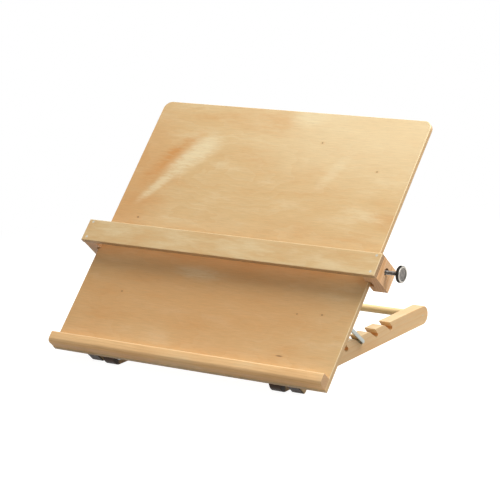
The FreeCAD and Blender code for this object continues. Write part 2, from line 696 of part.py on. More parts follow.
def make_guide_plate():
    """Plywood bar in front of the board, nailed to the end blocks."""
    body = new_body("guide_plate")
    sketch = new_sketch(body, "XY_Plane", "guide_outline", "Sizes.guide_gap")
    draw_rectangle(sketch, "-Fits.guide_end", "Sizes.guide_up", "Fits.guide_end", "Fits.guide_top")
    pad(body, "guide_bar", sketch, "Sizes.guide_thickness")
    front = size("guide_gap") + size("guide_thickness")

    def is_front_edge(p):
        return near(p.z, front)

    break_edges(body, "guide_sanding", "Sizes.guide_arris", is_front_edge)
    face = "Sizes.guide_gap + Sizes.guide_thickness"
    holes = new_sketch(body, "XY_Plane", "guide_nail_circles", face)
    seats = new_sketch(body, "XY_Plane", "guide_nail_seat_circles", face)
    for across in ("Fits.guide_end - Sizes.nail_from_end", "-Fits.guide_end + Sizes.nail_from_end"):
        for up in nail_heights():
            draw_circle(holes, across, up, "Sizes.nail_diameter")
            draw_circle(seats, across, up, "Sizes.nail_head_diameter")
    pocket(body, "guide_nail_holes", holes, "Sizes.guide_thickness")
    pocket(body, "guide_nail_seats", seats, "Sizes.nail_head_height")
    body.Placement = board_placement()


def nail_heights():
    """The two nails of one end, as expressions up the board."""
    return ("Sizes.guide_up + Sizes.nail_from_bottom", "Fits.guide_top - Sizes.nail_from_top")


def make_guide_block(side):
    """End block of the guide, grooved for the board's edge."""
    body = new_body("guide_block_" + SIDE_NAMES[side])
    inner = "%d * Fits.block_inner" % side
    outer = "%d * Fits.guide_end" % side
    rear = "-Sizes.board_thickness - Sizes.block_behind"
    sketch = new_sketch(body, "YZ_Plane", body.Name + "_section", inner)
    draw_rectangle(sketch, "Fits.guide_top - Sizes.block_height", rear, "Fits.guide_top", "Sizes.guide_gap")
    pad(body, body.Name + "_cube", sketch, "Fits.block_width", backwards=side == LEFT)
    groove = new_sketch(body, "YZ_Plane", body.Name + "_groove_section", inner)
    low = "Fits.guide_top - Sizes.block_height - %s" % CUT_RISE
    high = "Fits.guide_top + %s" % CUT_RISE
    behind = "-Sizes.board_thickness - Sizes.groove_rear_gap"
    draw_rectangle(groove, low, behind, high, "Sizes.groove_front_gap")
    pocket(body, body.Name + "_groove", groove, "Fits.groove_depth", backwards=side == RIGHT)
    nails = new_sketch(body, "XY_Plane", body.Name + "_nail_circles", "Sizes.guide_gap")
    across = "%d * (Fits.guide_end - Sizes.nail_from_end)" % side
    for up in nail_heights():
        draw_circle(nails, across, up, "Sizes.nail_diameter")
    pocket(body, body.Name + "_nail_holes", nails, "Sizes.nail_length - Sizes.guide_thickness")
    if side == RIGHT:
        centre = "-Sizes.board_thickness / 2"
        hole = new_sketch(body, "YZ_Plane", "insert_circle", outer)
        draw_circle(hole, "Fits.screw_up", centre, "Sizes.insert_diameter")
        pocket(body, "insert_hole", hole, "Fits.block_wall")
        mouth = new_sketch(body, "YZ_Plane", "insert_mouth_circle", outer)
        draw_circle(mouth, "Fits.screw_up", centre, "Sizes.insert_recess_diameter")
        pocket(body, "insert_mouth", mouth, "Sizes.insert_recess_depth")
    body.Placement = board_placement()


def make_guide_nails(side):
    """Two flat-headed nails that fix the plate to one block."""
    name = "guide_nails_" + SIDE_NAMES[side]
    nails = []
    for number, up in enumerate(nail_heights(), start=1):
        label = "%s_%d" % (name, number)
        nail = doc.addObject("Part::Fuse", label)
        nail.Base = make_rod(label + "_shank", "Sizes.nail_diameter", "Sizes.nail_length")
        nail.Tool = make_rod(label + "_head", "Sizes.nail_head_diameter", "Sizes.nail_head_height")
        nail.Tool.setExpression("Placement.Base.z", "Sizes.nail_length - Sizes.nail_head_height")
        across = "%d * (Fits.guide_end - Sizes.nail_from_end)" % side
        nail.setExpression("Placement.Base.x", across)
        nail.setExpression("Placement.Base.y", up)
        nail.setExpression("Placement.Base.z", "Sizes.guide_gap + Sizes.guide_thickness - Sizes.nail_length")
        nails.append(nail)
    pair = doc.addObject("Part::Compound", name)
    pair.Label = name
    pair.Links = nails
    pair.Placement = board_placement()
    pieces[name] = pair


def make_threaded_insert():
    """Metal insert in the right block, flush with the groove's floor."""
    bore = "Sizes.screw_diameter + 2 * Sizes.screw_bore_gap"
    insert = make_tube("threaded_insert", "Sizes.insert_diameter", bore, "Fits.insert_length")
    start = fit("block_inner") + fit("groove_depth")
    insert.Placement = axis_placement(screw_axis_point() + Vector(start, 0, 0), RIGHT)


def screw_axis_point():
    """The thumb screw points at the middle of the board's edge."""
    return on_board(fit("screw_up"), -size("board_thickness") / 2)


def make_thumb_screw():
    """Screw with a flat knurled head, whose tip clamps the board's edge."""
    body = new_body("thumb_screw")
    sketch = new_sketch(body, "XZ_Plane", "screw_half_section")
    shank = "Sizes.screw_diameter / 2"
    rim = "Sizes.screw_head_diameter / 2"
    dish = "Sizes.screw_dish_diameter / 2"
    face = "Sizes.screw_head_height"
    floor = face + " - Sizes.screw_dish_depth"
    corners = (("0", "-Fits.screw_length"), (shank, "-Fits.screw_length"), (shank, "0"), (rim, "0"))
    corners += ((rim, face), (dish, face), (dish, floor), ("0", floor))
    draw_outline(sketch, corners)
    revolve(body, "screw_turned", sketch, "V_Axis", "360")
    start = fit("guide_end") + size("screw_standoff")
    body.Placement = axis_placement(screw_axis_point() + Vector(start, 0, 0), RIGHT)


def make_all():
    """Every sub-part of the stand."""
    make_board()
    make_ledge()
    make_rear_dowel()
    for side in (RIGHT, LEFT):
        make_arm(side)
        make_brad(side)
        make_batten(side)
        make_pivot_bolt(side)
        make_pivot_spacer(side)
        make_pivot_washer(side)
        make_pivot_nut(side)
        make_guide_block(side)
        make_guide_nails(side)
    make_prop()
    make_guide_plate()
    make_threaded_insert()
    make_thumb_screw()
    doc.recompute()


def stand_on_origin():
    """Move everything so that the origin is the middle of the footprint."""
    box = FreeCAD.BoundBox()
    for piece in pieces.values():
        box.add(piece.Shape.optimalBoundingBox(False, False))
    shift = Vector(-box.Center.x, -box.Center.y, -box.ZMin)
    for piece in pieces.values():
        piece.Placement = Placement(shift, Rotation()) * piece.Placement
    doc.recompute()
    return shift


def check_all():
    """Stop if any object failed or any sub-part is not a sound solid."""
    for item in doc.Objects:
        if "Invalid" in item.State or "Error" in item.State:
            raise RuntimeError(item.Name + " failed")
    for name, piece in pieces.items():
        shape = piece.Shape
        if shape.isNull() or not shape.isValid() or not shape.Solids:
            raise RuntimeError(name + " is not a sound solid")


def export_all():
    """Write one STEP file for each sub-part."""
    os.makedirs("parts", exist_ok=True)
    for name, piece in pieces.items():
        piece.Shape.exportStep(os.path.join("parts", name + ".step"))


def print_places(shift):
    """Where the joints turn, in the finished frame."""
    places = {
        "board pivot": pivot_point(),
        "prop pivot": prop_pivot(),
        "guide middle": on_board(size("guide_up"), size("guide_gap")),
        "screw axis": screw_axis_point(),
    }
    for name, point in places.items():
        spot = point + shift
        print("%s: %.3f %.3f %.3f" % (name, spot.x, spot.y, spot.z))


make_all()
moved = stand_on_origin()
check_all()
export_all()
print_places(moved)
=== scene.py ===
import json
import math

import bmesh
import bpy
from bpy.props import FloatProperty, FloatVectorProperty, IntProperty, PointerProperty
from mathutils import Euler, Matrix, Vector


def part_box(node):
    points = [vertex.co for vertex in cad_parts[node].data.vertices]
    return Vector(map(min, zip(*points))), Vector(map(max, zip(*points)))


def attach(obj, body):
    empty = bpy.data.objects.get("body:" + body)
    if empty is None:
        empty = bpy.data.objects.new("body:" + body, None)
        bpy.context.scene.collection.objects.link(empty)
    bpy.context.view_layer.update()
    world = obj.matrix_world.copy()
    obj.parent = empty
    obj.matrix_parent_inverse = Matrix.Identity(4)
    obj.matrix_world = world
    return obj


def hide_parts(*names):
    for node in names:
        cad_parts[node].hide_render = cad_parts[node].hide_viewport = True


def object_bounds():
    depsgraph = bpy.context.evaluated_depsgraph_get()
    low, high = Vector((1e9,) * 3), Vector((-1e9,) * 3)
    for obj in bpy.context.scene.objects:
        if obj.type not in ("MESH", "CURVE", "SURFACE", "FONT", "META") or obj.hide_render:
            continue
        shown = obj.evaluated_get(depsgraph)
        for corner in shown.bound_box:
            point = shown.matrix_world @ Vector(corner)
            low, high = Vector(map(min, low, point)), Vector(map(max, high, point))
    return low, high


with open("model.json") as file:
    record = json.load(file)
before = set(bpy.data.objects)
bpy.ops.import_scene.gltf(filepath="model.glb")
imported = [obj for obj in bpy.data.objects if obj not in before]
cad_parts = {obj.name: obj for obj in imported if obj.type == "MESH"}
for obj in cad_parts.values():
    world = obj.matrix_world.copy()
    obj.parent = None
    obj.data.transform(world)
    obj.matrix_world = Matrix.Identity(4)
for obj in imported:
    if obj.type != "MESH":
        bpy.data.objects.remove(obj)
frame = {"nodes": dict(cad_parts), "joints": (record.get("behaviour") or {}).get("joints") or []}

# A folding wooden reading stand. The pieces that keep their CAD shape get their
# finishes here. The ledge, whose corners are rounder, and the small metal parts that
# have threads and knurls are built as meshes in the same places. Blender's unit is
# the metre, so a length in millimetres is multiplied by MM. Only the figure of the
# wood is worked out in plain millimetres, in a frame that lies along its grain.

bl_info = {
    "name": "Reading stand",
    "version": (1, 0, 0),
    "blender": (4, 5, 0),
    "location": "3D View > Sidebar > Reading stand",
    "description": "Finishes, fittings and stage of a folding wooden reading stand",
    "category": "Object",
}

MM = 0.001
SIDES = {"left": -1.0, "right": 1.0}
CAD_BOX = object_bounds()
NODES = frame["nodes"]

# Facets that meet at more than this angle make an edge that is rounded.
EDGE_ANGLE = math.radians(50.0)
# Facets that meet at more than this angle are not shaded as one surface.
FACET_ANGLE = math.radians(30.0)
# Rings of points for each turn of a thread, and the share of its pitch that is flat
# at its crest and again at its root.
THREAD_ROWS = 10
THREAD_CREST = 0.15
# Points round a rod, a bolt's head and a nut, and for each ridge of the knurl.
ROD_STEPS = 32
DOME_STEPS = 48
NUT_STEPS = 72
RIDGE_STEPS = 6
# How far a thread runs into its head, so that no gap shows between them.
HEAD_OVERLAP = 0.2 * MM
# A bolt's head: the share of its height that is a straight rim, and the share of its
# radius that the dome above it takes off.
DOME_RIM = 0.35
DOME_NARROWING = 0.62
# A face of the thumb screw's head gets a painted dark reflection where its normal has
# less than this share along the axis, inside the dish and outside it.
PAINTED_DARK_IN_DISH = 0.93
PAINTED_DARK_ON_RIM = 0.6
# How far the floor lies under the arms, so that their undersides don't flicker.
FLOOR_DROP = 0.1 * MM
# How bright the floor looks to the camera before the lamps' light on it.
FLOOR_LIFT = 0.95
# In metres: half the floor's width, and where it starts to fade to white and is white.
FLOOR_REACH = 8.0
FLOOR_FADE = (0.4, 0.8)
# In metres: the lamps' width, and their places from the middle of the stand.
LAMP_WIDTH = 1.2
LAMP_PLACES = {
    "key": Vector((0.5, 0.5, 1.45)),
    "side": Vector((1.35, 0.0, 0.85)),
    "fill": Vector((-0.7, -1.6, 0.8)),
}


def from_hex(code):
    """An sRGB hex colour as linear values, by the standard's own formula."""
    channels = [int(code[i:i + 2], 16) / 255.0 for i in (1, 3, 5)]
    return tuple(c / 12.92 if c <= 0.04045 else ((c + 0.055) / 1.055) ** 2.4 for c in channels)


def reach(node, direction):
    """How near and how far a node's mesh lies along a direction."""
    along = [v.co.dot(direction) for v in NODES[node].data.vertices]
    return min(along), max(along)


def middle(node):
    """The centre of a node's box."""
    low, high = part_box(node)
    return (low + high) / 2.0


# The board leans back, so what is on it has axes of its own: to the right, up the
# board, and out of its face. Their origin is the middle of its lower front edge.
TO_RIGHT = Vector((1.0, 0.0, 0.0))
GUIDE_SLIDE = next(joint for joint in frame["joints"] if joint["name"] == "guide_slide")
UP_BOARD = Vector(GUIDE_SLIDE["axis"]).normalized()
OUT_OF_BOARD = TO_RIGHT.cross(UP_BOARD)
LEAN = math.atan2(UP_BOARD.z, UP_BOARD.y)
BOARD_ORIGIN = (
    TO_RIGHT * middle("board").x
    + UP_BOARD * reach("board", UP_BOARD)[0]
    + OUT_OF_BOARD * reach("board", OUT_OF_BOARD)[1]
)
# The arms' frame is the table's: its origin is the middle of their front ends.
ARM_ORIGIN = Vector((middle("rear_dowel").x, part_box("arm_right")[0].y, 0.0))

# Turns that bring a piece's grain to X, and the face that one sees first to Z.
ALONG_BOARD_WIDTH = (-LEAN, 0.0, 0.0)
ALONG_BOARD_HEIGHT = (-LEAN, 0.0, -math.pi / 2.0)
ALONG_TABLE_DEPTH = (0.0, 0.0, -math.pi / 2.0)
ALONG_TABLE_WIDTH = (0.0, 0.0, 0.0)


def colour_property(name, code, description):
    """A colour that the user may change, given by its hex value."""
    return FloatVectorProperty(
        name=name, description=description, subtype="COLOR", size=3, min=0.0, max=1.0,
        default=from_hex(code)
    )


def length_property(name, millimetres, description):
    """A length that the user may change, given in millimetres."""
    return FloatProperty(
        name=name, description=description, subtype="DISTANCE", unit="LENGTH", precision=4,
        default=millimetres * MM
    )


def angle_property(name, degrees, description):
    """An angle that the user may change, given in degrees."""
    return FloatProperty(name=name, description=description, subtype="ANGLE", default=math.radians(degrees))


def power_property(name, watts, description):
    """A lamp's power that the user may change, given in watts."""
    return FloatProperty(name=name, description=description, subtype="POWER", unit="POWER", default=watts)


def share_property(name, share, description):
    """A share from 0 to 1 that the user may change."""
    return FloatProperty(name=name, description=description, min=0.0, max=1.0, default=share)


class StandWood(bpy.types.PropertyGroup):
    """Colours of lacquered birch, the scale of its figure and its lacquer."""

    # Pale and warm also lay painted light: pale gives the painted highlights on upper and right-hand corners
    # and the painted sheen of slanted streaks, and both give painted light and shade in the board's widest
    # clouds.
    pale: colour_property("Pale", "#EEDAB0", "Lightest streaks of the veneer")
    middle: colour_property("Middle", "#DDBB88", "Main colour of the veneer")
    warm: colour_property("Warm", "#D49A5E", "Orange clouds and the dark side of the growth rings")
    bar: colour_property("Bar", "#D7BD92", "Planed birch of the arms and battens")
    # Partly painted light: the ledge's birch is laid paler than the arms' to stand for light thrown up from
    # the floor on to its front and underside.
    strip: colour_property("Strip", "#F8CB92", "Planed birch of the ledge")
    block: colour_property("Block", "#EBBF92", "Redder birch of the guide's end blocks")
    rail: colour_property("Rail", "#F6DBA4", "Turned birch of the rear dowel")
    end_grain: colour_property("End grain", "#94705A", "Plies and blocks cut across their grain")
    # Partly painted light: sawn end grain is redder, and this colour is also laid brighter to stand for warm
    # light thrown into the notches.
    notch_with_painted_light: colour_property("Notch", "#E8A064", "Sawn walls of the arms' notches and their ends")
    # Painted shade, not lacquer: this near-black on the front ends of the arms and battens stands for the
    # deep shade under the ledge.
    painted_shade_end: colour_property("Dark end", "#2A1810", "Cut ends of the arms and battens, dark with lacquer")
    knot: colour_property("Knot", "#4E3320", "Pin knots")
    ply_thickness: length_property("Ply thickness", 1.3, "One of the five plies of the board")
    ring_width: length_property("Ring width", 3.2, "Growth rings of the solid birch")
    fibre_width: length_property("Fibre width", 1.1, "Fine streaks along the grain")
    lacquer_roughness: share_property("Lacquer roughness", 0.46, "Satin lacquer over all the wood")
    lacquer_gloss: share_property("Lacquer gloss", 0.2, "How much the lacquer mirrors; 0.5 is a full coat")


class StandMetal(bpy.types.PropertyGroup):
    """Colours of the fittings."""

    wire: colour_property("Wire", "#A4AAA8", "Bright drawn steel wire of the prop")
    nickel: colour_property("Nickel", "#BDB8B0", "Bright nickel plate of the thumb screw")
    worn: colour_property("Worn nickel", "#8A8580", "Dull nickel of the thumb screw's dish and thread")
    # Painted reflection: the knurl and the dish's wall are coloured this dark for the dark surroundings that
    # they would mirror, not for nickel gone dark.
    knurl: colour_property("Knurl", "#33322F", "Nickel that has gone dark in the knurl")
    zinc: colour_property("Zinc", "#A9ABA9", "Zinc plate of bolts, nuts, washers and sleeves")
    # Painted shade: the insert is laid near-black for the shade inside the hole that it sits in.
    insert: colour_property("Insert", "#171412", "Die-cast threaded insert")
    nail: colour_property("Nail", "#CFC9B8", "Bright nails and brads")


class StandFittings(bpy.types.PropertyGroup):
    """Sizes of the threaded and knurled parts, and of the rounded edges."""

    head_height: length_property("Head height", 4.8, "Knurled head of the thumb screw")
    dish_radius: length_property("Dish radius", 7.4, "Dish in the thumb screw's head")
    dish_depth: length_property("Dish depth", 0.7, "Dish in the thumb screw's head")
    ridge_count: IntProperty(name="Ridges", description="Knurled ridges round the head", default=48, min=8)
    ridge_depth: length_property("Ridge depth", 0.45, "Knurled ridges round the head")
    shank_radius: length_property("Shank radius", 2.5, "Outside of the threads")
    thread_pitch: length_property("Thread pitch", 0.8, "Thread of screw and bolts")
    thread_depth: length_property("Thread depth", 0.45, "Thread of screw and bolts")
    bolt_head_radius: length_property("Bolt head radius", 4.75, "Domed head of a pivot bolt")
    bolt_head_height: length_property("Bolt head height", 3.2, "Domed head of a pivot bolt")
    recess_depth: length_property("Recess depth", 1.9, "Cross recess of a pivot bolt")
    recess_width: length_property("Recess width", 1.0, "Cross recess of a pivot bolt")
    recess_reach: length_property("Recess reach", 2.5, "Cross recess of a pivot bolt")
    nut_across_flats: length_property("Nut across flats", 8.0, "Lock nut of a pivot bolt")
    sanding: length_property("Sanding", 0.5, "Rounding of the plywood's and the blocks' edges")
    ledge_nose: length_property("Ledge nose", 5.0, "Radius of the ledge's lower front corner")
    ledge_arris: length_property("Ledge arris", 1.4, "Radius of the ledge's upper front corner")
    ledge_rounding: length_property("Ledge rounding", 2.0, "Rounding of the ledge's cut ends")


class StandStage(bpy.types.PropertyGroup):
    """Camera, lamps and floor."""

    camera_place: FloatVectorProperty(
        name="Camera place", description="Where the camera stands", subtype="XYZ", unit="LENGTH", size=3,
        default=(1.46285, -2.109, 0.752), precision=4
    )
    azimuth: angle_property("Azimuth", 35.25, "Camera's angle round the stand")
    elevation: angle_property("Elevation", 13.73, "Camera's angle above the table")
    roll: angle_property("Roll", -2.58, "Camera's turn about its own axis")
    lens: FloatProperty(name="Lens", description="Focal length on a 36 mm sensor, in mm", default=154.0)
    key_power: power_property("Key power", 45.5, "Large soft lamp overhead")
    side_power: power_property("Side power", 9.0, "Soft lamp at the reader's right")
    fill_power: power_property("Fill power", 8.0, "Weak soft lamp in front, at the reader's left")
    sky: FloatProperty(name="Sky", description="Plain light from all round", default=0.02)
    floor: colour_property("Floor", "#A5A098", "Floor as the stand sees it; the camera sees it white")


# Lengths of the wood's figure, in millimetres along the grain, across it and through
# the face. THROUGH is a length that no piece reaches, for what goes right through.
THROUGH = 10000.0
# Lines of a rotary-cut veneer: the swells that they run round, how many lines those
# carry, and how far and over what length noise pushes the lines about.
SWELLS = (260.0, 60.0, 900.0)
SWELL_LINES = 8.0
PUSH = (70.0, 26.0, 0.0)
PUSH_LENGTH = 45.0
# How much a solid stick's growth rings sway, and its slow change of tint.
RING_SWAY = (120.0, 45.0, 45.0)
BAR_DRIFT = (85.0, 22.0, 22.0)
# Duller and glossier patches of the lacquer to the metre, so about 22 mm each.
GLOSS_PATCHES = 45.0


def add_node(tree, kind, inputs=None, stops=None, **settings):
    """Add a node and set it up. An input takes a value, another node's output, or its first output."""
    node = tree.nodes.new("ShaderNode" + kind)
    for name, value in settings.items():
        setattr(node, name, value)
    for key, value in (inputs or {}).items():
        if isinstance(value, bpy.types.Node):
            value = next(output for output in value.outputs if output.enabled)
        if isinstance(value, bpy.types.NodeSocket):
            tree.links.new(value, node.inputs[key])
        else:
            node.inputs[key].default_value = value
    for index, (place, shade) in enumerate(stops or ()):
        elements = node.color_ramp.elements
        element = elements[index] if index < 2 else elements.new(place)
        element.position = place
        element.color = (shade, shade, shade, 1.0)
    return node


def new_material(name):
    """An empty node material and its tree."""
    material = bpy.data.materials.new(name)
    material.use_nodes = True
    material.node_tree.nodes.clear()
    return material, material.node_tree


def grain_place(tree, turn, origin):
    """Millimetres along the grain, across it and out of the face, measured from an origin."""
    moved = Euler(turn, "XYZ").to_matrix() @ origin
    coordinates = add_node(tree, "TexCoord")
    settings = {
        "Vector": coordinates.outputs["Object"],
        "Location": tuple(-moved / MM),
        "Rotation": turn,
        "Scale": (1.0 / MM, 1.0 / MM, 1.0 / MM),
    }
    return add_node(tree, "Mapping", settings, vector_type="POINT")


def grain_facing(tree, turn):
    """A face's direction along the grain, across it and outwards, with its sign and without."""
    coordinates = add_node(tree, "TexCoord")
    settings = {"Vector": coordinates.outputs["Normal"], "Rotation": turn}
    turned = add_node(tree, "Mapping", settings, vector_type="VECTOR")
    size = add_node(tree, "VectorMath", {0: turned}, operation="ABSOLUTE")
    signed = add_node(tree, "SeparateXYZ", {"Vector": turned})
    return signed, add_node(tree, "SeparateXYZ", {"Vector": size})


def stretched_noise(tree, place, lengths, detail=2.0, roughness=0.5, shift=0.0):
    """Noise with grains of the given lengths in millimetres; each shift gives another pattern."""
    settings = {
        "Vector": place,
        "Location": (shift, shift * 0.7, shift * 1.3),
        "Scale": tuple(1.0 / length for length in lengths),
    }
    spread = add_node(tree, "Mapping", settings)
    settings = {"Vector": spread, "Scale": 1.0, "Detail": detail, "Roughness": roughness}
    return add_node(tree, "TexNoise", settings)


def soft_spot(tree, place, along, across, half_length, half_width, slant=0.0):
    """1 in the middle of a slanted oval on the face, falling evenly to 0 at its rim."""
    settings = {
        "Vector": place,
        "Location": (along, across, 0.0),
        "Rotation": (0.0, 0.0, math.radians(slant)),
        "Scale": (half_length, half_width, THROUGH),
    }
    oval = add_node(tree, "Mapping", settings, vector_type="TEXTURE")
    return add_node(tree, "TexGradient", {"Vector": oval}, gradient_type="SPHERICAL").outputs["Fac"]


def wood_colour(name):
    """One of the wood's colours, with the full alpha that node sockets ask for."""
    return (*getattr(bpy.context.scene.stand_wood, name), 1.0)


def lay_tint(tree, colour, tint, pattern, span, most):
    """Lay one of the wood's colours over a colour, from none at a span's start to most at its end."""
    low, high = span
    settings = {"Value": pattern, "From Min": low, "From Max": high, "To Max": most}
    cover = add_node(tree, "MapRange", settings, interpolation_type="SMOOTHSTEP")
    return add_node(tree, "Mix", {0: cover, 6: colour, 7: wood_colour(tint)}, data_type="RGBA")


def shade_by(tree, colour, pattern, span, shades):
    """Multiply a colour by shades that follow a pattern through its span."""
    settings = {
        "Value": pattern, "From Min": span[0], "From Max": span[1], "To Min": shades[0], "To Max": shades[1]
    }
    shade = add_node(tree, "MapRange", settings, interpolation_type="SMOOTHSTEP")
    return add_node(tree, "VectorMath", {0: colour, 3: shade}, operation="SCALE")


def finish(tree, inputs, patches, rough, height, strength, distance):
    """End a material: its roughness follows patches, and a height is felt as a low relief."""
    low, high = rough
    settings = {"Value": patches, "From Min": 0.3, "From Max": 0.7, "To Min": low, "To Max": high}
    roughness = add_node(tree, "MapRange", settings)
    bump = add_node(tree, "Bump", {"Height": height, "Strength": strength, "Distance": distance})
    shader = add_node(tree, "BsdfPrincipled", {"Roughness": roughness, "Normal": bump, **inputs})
    add_node(tree, "OutputMaterial", {"Surface": shader})


def satin_lacquer(tree, colour, height):
    """A thin coat of satin lacquer over birch whose figure can be felt."""
    # To the eye: highlights so wide and weak that they only lighten the wood, a little
    # duller in some places than in others.
    wood = bpy.context.scene.stand_wood
    place = add_node(tree, "TexCoord").outputs["Object"]
    patches = add_node(tree, "TexNoise", {"Vector": place, "Scale": GLOSS_PATCHES, "Detail": 3.0})
    inputs = {"Base Color": colour, "IOR": 1.5, "Specular IOR Level": wood.lacquer_gloss}
    rough = (wood.lacquer_roughness - 0.05, wood.lacquer_roughness + 0.06)
    finish(tree, inputs, patches, rough, height, strength=0.25, distance=0.1 * MM)


def fibres(tree, place, colour, strength):
    """Fine streaks and short pores along the grain, and the relief that they leave."""
    # Birch's fibres are about 0.02 mm wide and its pores about 0.1 mm. Both are too
    # fine to show, so streaks of 1.1 mm and pores of 0.6 mm stand for them.
    width = bpy.context.scene.stand_wood.fibre_width / MM
    streaks = stretched_noise(tree, place, (width * 20.0, width, width), detail=3.0, roughness=0.62)
    colour = shade_by(tree, colour, streaks, (0.3, 0.7), (1.0 - strength, 1.0 + strength))
    pores = stretched_noise(tree, place, (width * 7.0, width * 0.55, width * 0.55), detail=1.0, shift=31.0)
    colour = shade_by(tree, colour, pores, (0.66, 0.76), (1.0, 1.0 - strength * 2.0))
    relief = add_node(tree, "Math", {0: streaks, 1: pores}, operation="SUBTRACT")
    return colour, relief


def level_lines(tree, place, hills, shift):
    """Figure of a rotary-cut veneer: across each band, 0 in the early wood to 1 in the late wood."""
    # The knife peels a log that isn't quite round, so its growth rings show as lines of
    # equal level on low hills. Noise pushes the place about, which makes them uneven.
    settings = {"Vector": place, "Scale": 1.0 / PUSH_LENGTH, "Detail": 4.0, "Roughness": 0.55}
    push = add_node(tree, "TexNoise", settings).outputs["Color"]
    push = add_node(tree, "VectorMath", {0: push, 1: (0.5, 0.5, 0.5)}, operation="SUBTRACT")
    pushed = add_node(tree, "VectorMath", {0: push, 1: PUSH, 2: place}, operation="MULTIPLY_ADD")
    swell = stretched_noise(tree, pushed, SWELLS, detail=3.0, roughness=0.45, shift=shift)
    level = add_node(tree, "Math", {0: swell, 1: SWELL_LINES}, operation="MULTIPLY")
    for along, up, half_length, half_width, lines in hills:
        spot = soft_spot(tree, pushed, along, up, half_length, half_width)
        level = add_node(tree, "Math", {0: spot, 1: lines, 2: level}, operation="MULTIPLY_ADD")
    return add_node(tree, "Math", {0: level}, operation="FRACT")


# Hills of the board's veneer: along and up the board, half length and
# half width in millimetres, and how many lines run round each.
HILLS = (
    (-35, 277, 175, 62, 6),
    (140, 290, 95, 30, 3),
    (-110, 74, 80, 22, 2.5),
    (67, 68, 120, 26, 3),
)
# Clouds of the board's veneer: along and up the board, half length and
# half width in millimetres, slant in degrees, tint, and how strong each is.
CLOUDS = (
    # Partly painted light and shade: the widest clouds lay on the veneer's own tone a paler upper right,
    # where the lamps fall most, and a warmer left side and lower part, where less light reaches.
    (140, 370, 300, 150, 0, "pale", 0.55),
    (0, 95, 330, 110, 0, "warm", 0.58),
    (-200, 240, 90, 170, 0, "warm", 0.5),
    (-200, 60, 130, 110, 0, "warm", 0.35),
    (-150, 285, 66, 24, 52, "warm", 0.85),
    (-152, 293, 16, 8, 52, "warm", 0.8),
    (-12, 352, 42, 26, 0, "warm", 0.35),
    # Painted sheen: these pale streaks, slanted at 35 to 53 degrees, stand for the veneer's chatoyant sheen,
    # laid as colour.
    (-124, 288, 60, 24, 52, "pale", 0.85),
    (-106, 304, 36, 24, 35, "pale", 0.55),
    (-153, 246, 50, 11, 53, "pale", 0.7),
    (27, 362, 36, 20, 8, "pale", 0.75),
    (94, 289, 44, 13, 62, "pale", 0.45),
    (157, 231, 44, 11, -8, "pale", 0.5),
    (-34, 127, 50, 14, 0, "pale", 0.4),
)
# A cloud of at least this half length fades evenly; a smaller one ends in streaks.
WIDE_CLOUD = 85.0
# Pin knots: along and up the board, and half length and half width in millimetres.
PIN_KNOTS = (
    (60.2, 326.6, 1.7, 1.4),
    (152.1, 292.6, 1.6, 1.3),
    (-161.7, 194.5, 2.2, 1.6),
    (123.5, 90.6, 1.5, 1.2),
    (157.0, 93.8, 2.0, 1.3),
    (-135.2, 88.6, 1.8, 1.3),
    (122.8, 33.8, 6.5, 1.3),
)
# How many times as long and as wide as a pin knot its warm halo is.
KNOT_HALO = (3.0, 2.2)


def plies(tree, place, turn, face_colour, contrast):
    """The face's colour on the faces, and the edges of the five plies round them."""
    # To the eye: thin light and dark stripes along each edge, each as wide as a ply.
    wood = bpy.context.scene.stand_wood
    signed, facing = grain_facing(tree, turn)
    depth = add_node(tree, "SeparateXYZ", {"Vector": place}).outputs["Z"]
    layer = add_node(tree, "Math", {0: depth, 1: -wood.ply_thickness / MM}, operation="DIVIDE")
    # Triangle wave with its peaks at the middles of the second and fourth plies.
    wave = add_node(tree, "Math", {0: layer, 1: 0.5}, operation="SUBTRACT")
    wave = add_node(tree, "Math", {0: wave, 1: 1.0}, operation="PINGPONG")
    # Plies that show their sides at one edge of the board show their ends at the next.
    turned = add_node(tree, "Math", {0: 1.0, 1: wave}, operation="SUBTRACT")
    ends = add_node(tree, "MapRange", {"Value": facing.outputs["X"], "To Min": wave, "To Max": turned})
    streaks = stretched_noise(tree, place, (6.0, 6.0, 0.5), detail=2.0, shift=5.0)
    edge = lay_tint(tree, wood_colour("middle"), "end_grain", ends, (0.3, 0.7), most=contrast)
    edge = shade_by(tree, edge, streaks, (0.3, 0.7), (0.92, 1.06))
    edge = lay_tint(tree, edge, "end_grain", facing.outputs["X"], (0.4, 0.9), most=contrast * 0.3)
    on_face = add_node(tree, "MapRange", {"Value": facing.outputs["Z"], "From Min": 0.35, "From Max": 0.75})
    colour = add_node(tree, "Mix", {0: on_face, 6: edge, 7: face_colour}, data_type="RGBA")
    # Painted highlights on the upper and right-hand corners.
    return painted_corner_highlights(tree, signed, colour)


def painted_corner_highlights(tree, signed, colour):
    """Painted highlights: the upper and right-hand corners of the outer face, which turn to the lamps, are
    laid paler than the faces.
    """
    # The two directions' product is 0.5 on a corner's slanting facets and 0 on both faces.
    for axis in ("X", "Y"):
        corner = add_node(
            tree, "Math", {0: signed.outputs[axis], 1: signed.outputs["Z"]}, operation="MULTIPLY"
        )
        colour = lay_tint(tree, colour, "pale", corner, (0.3, 0.48), most=0.7)
    return colour


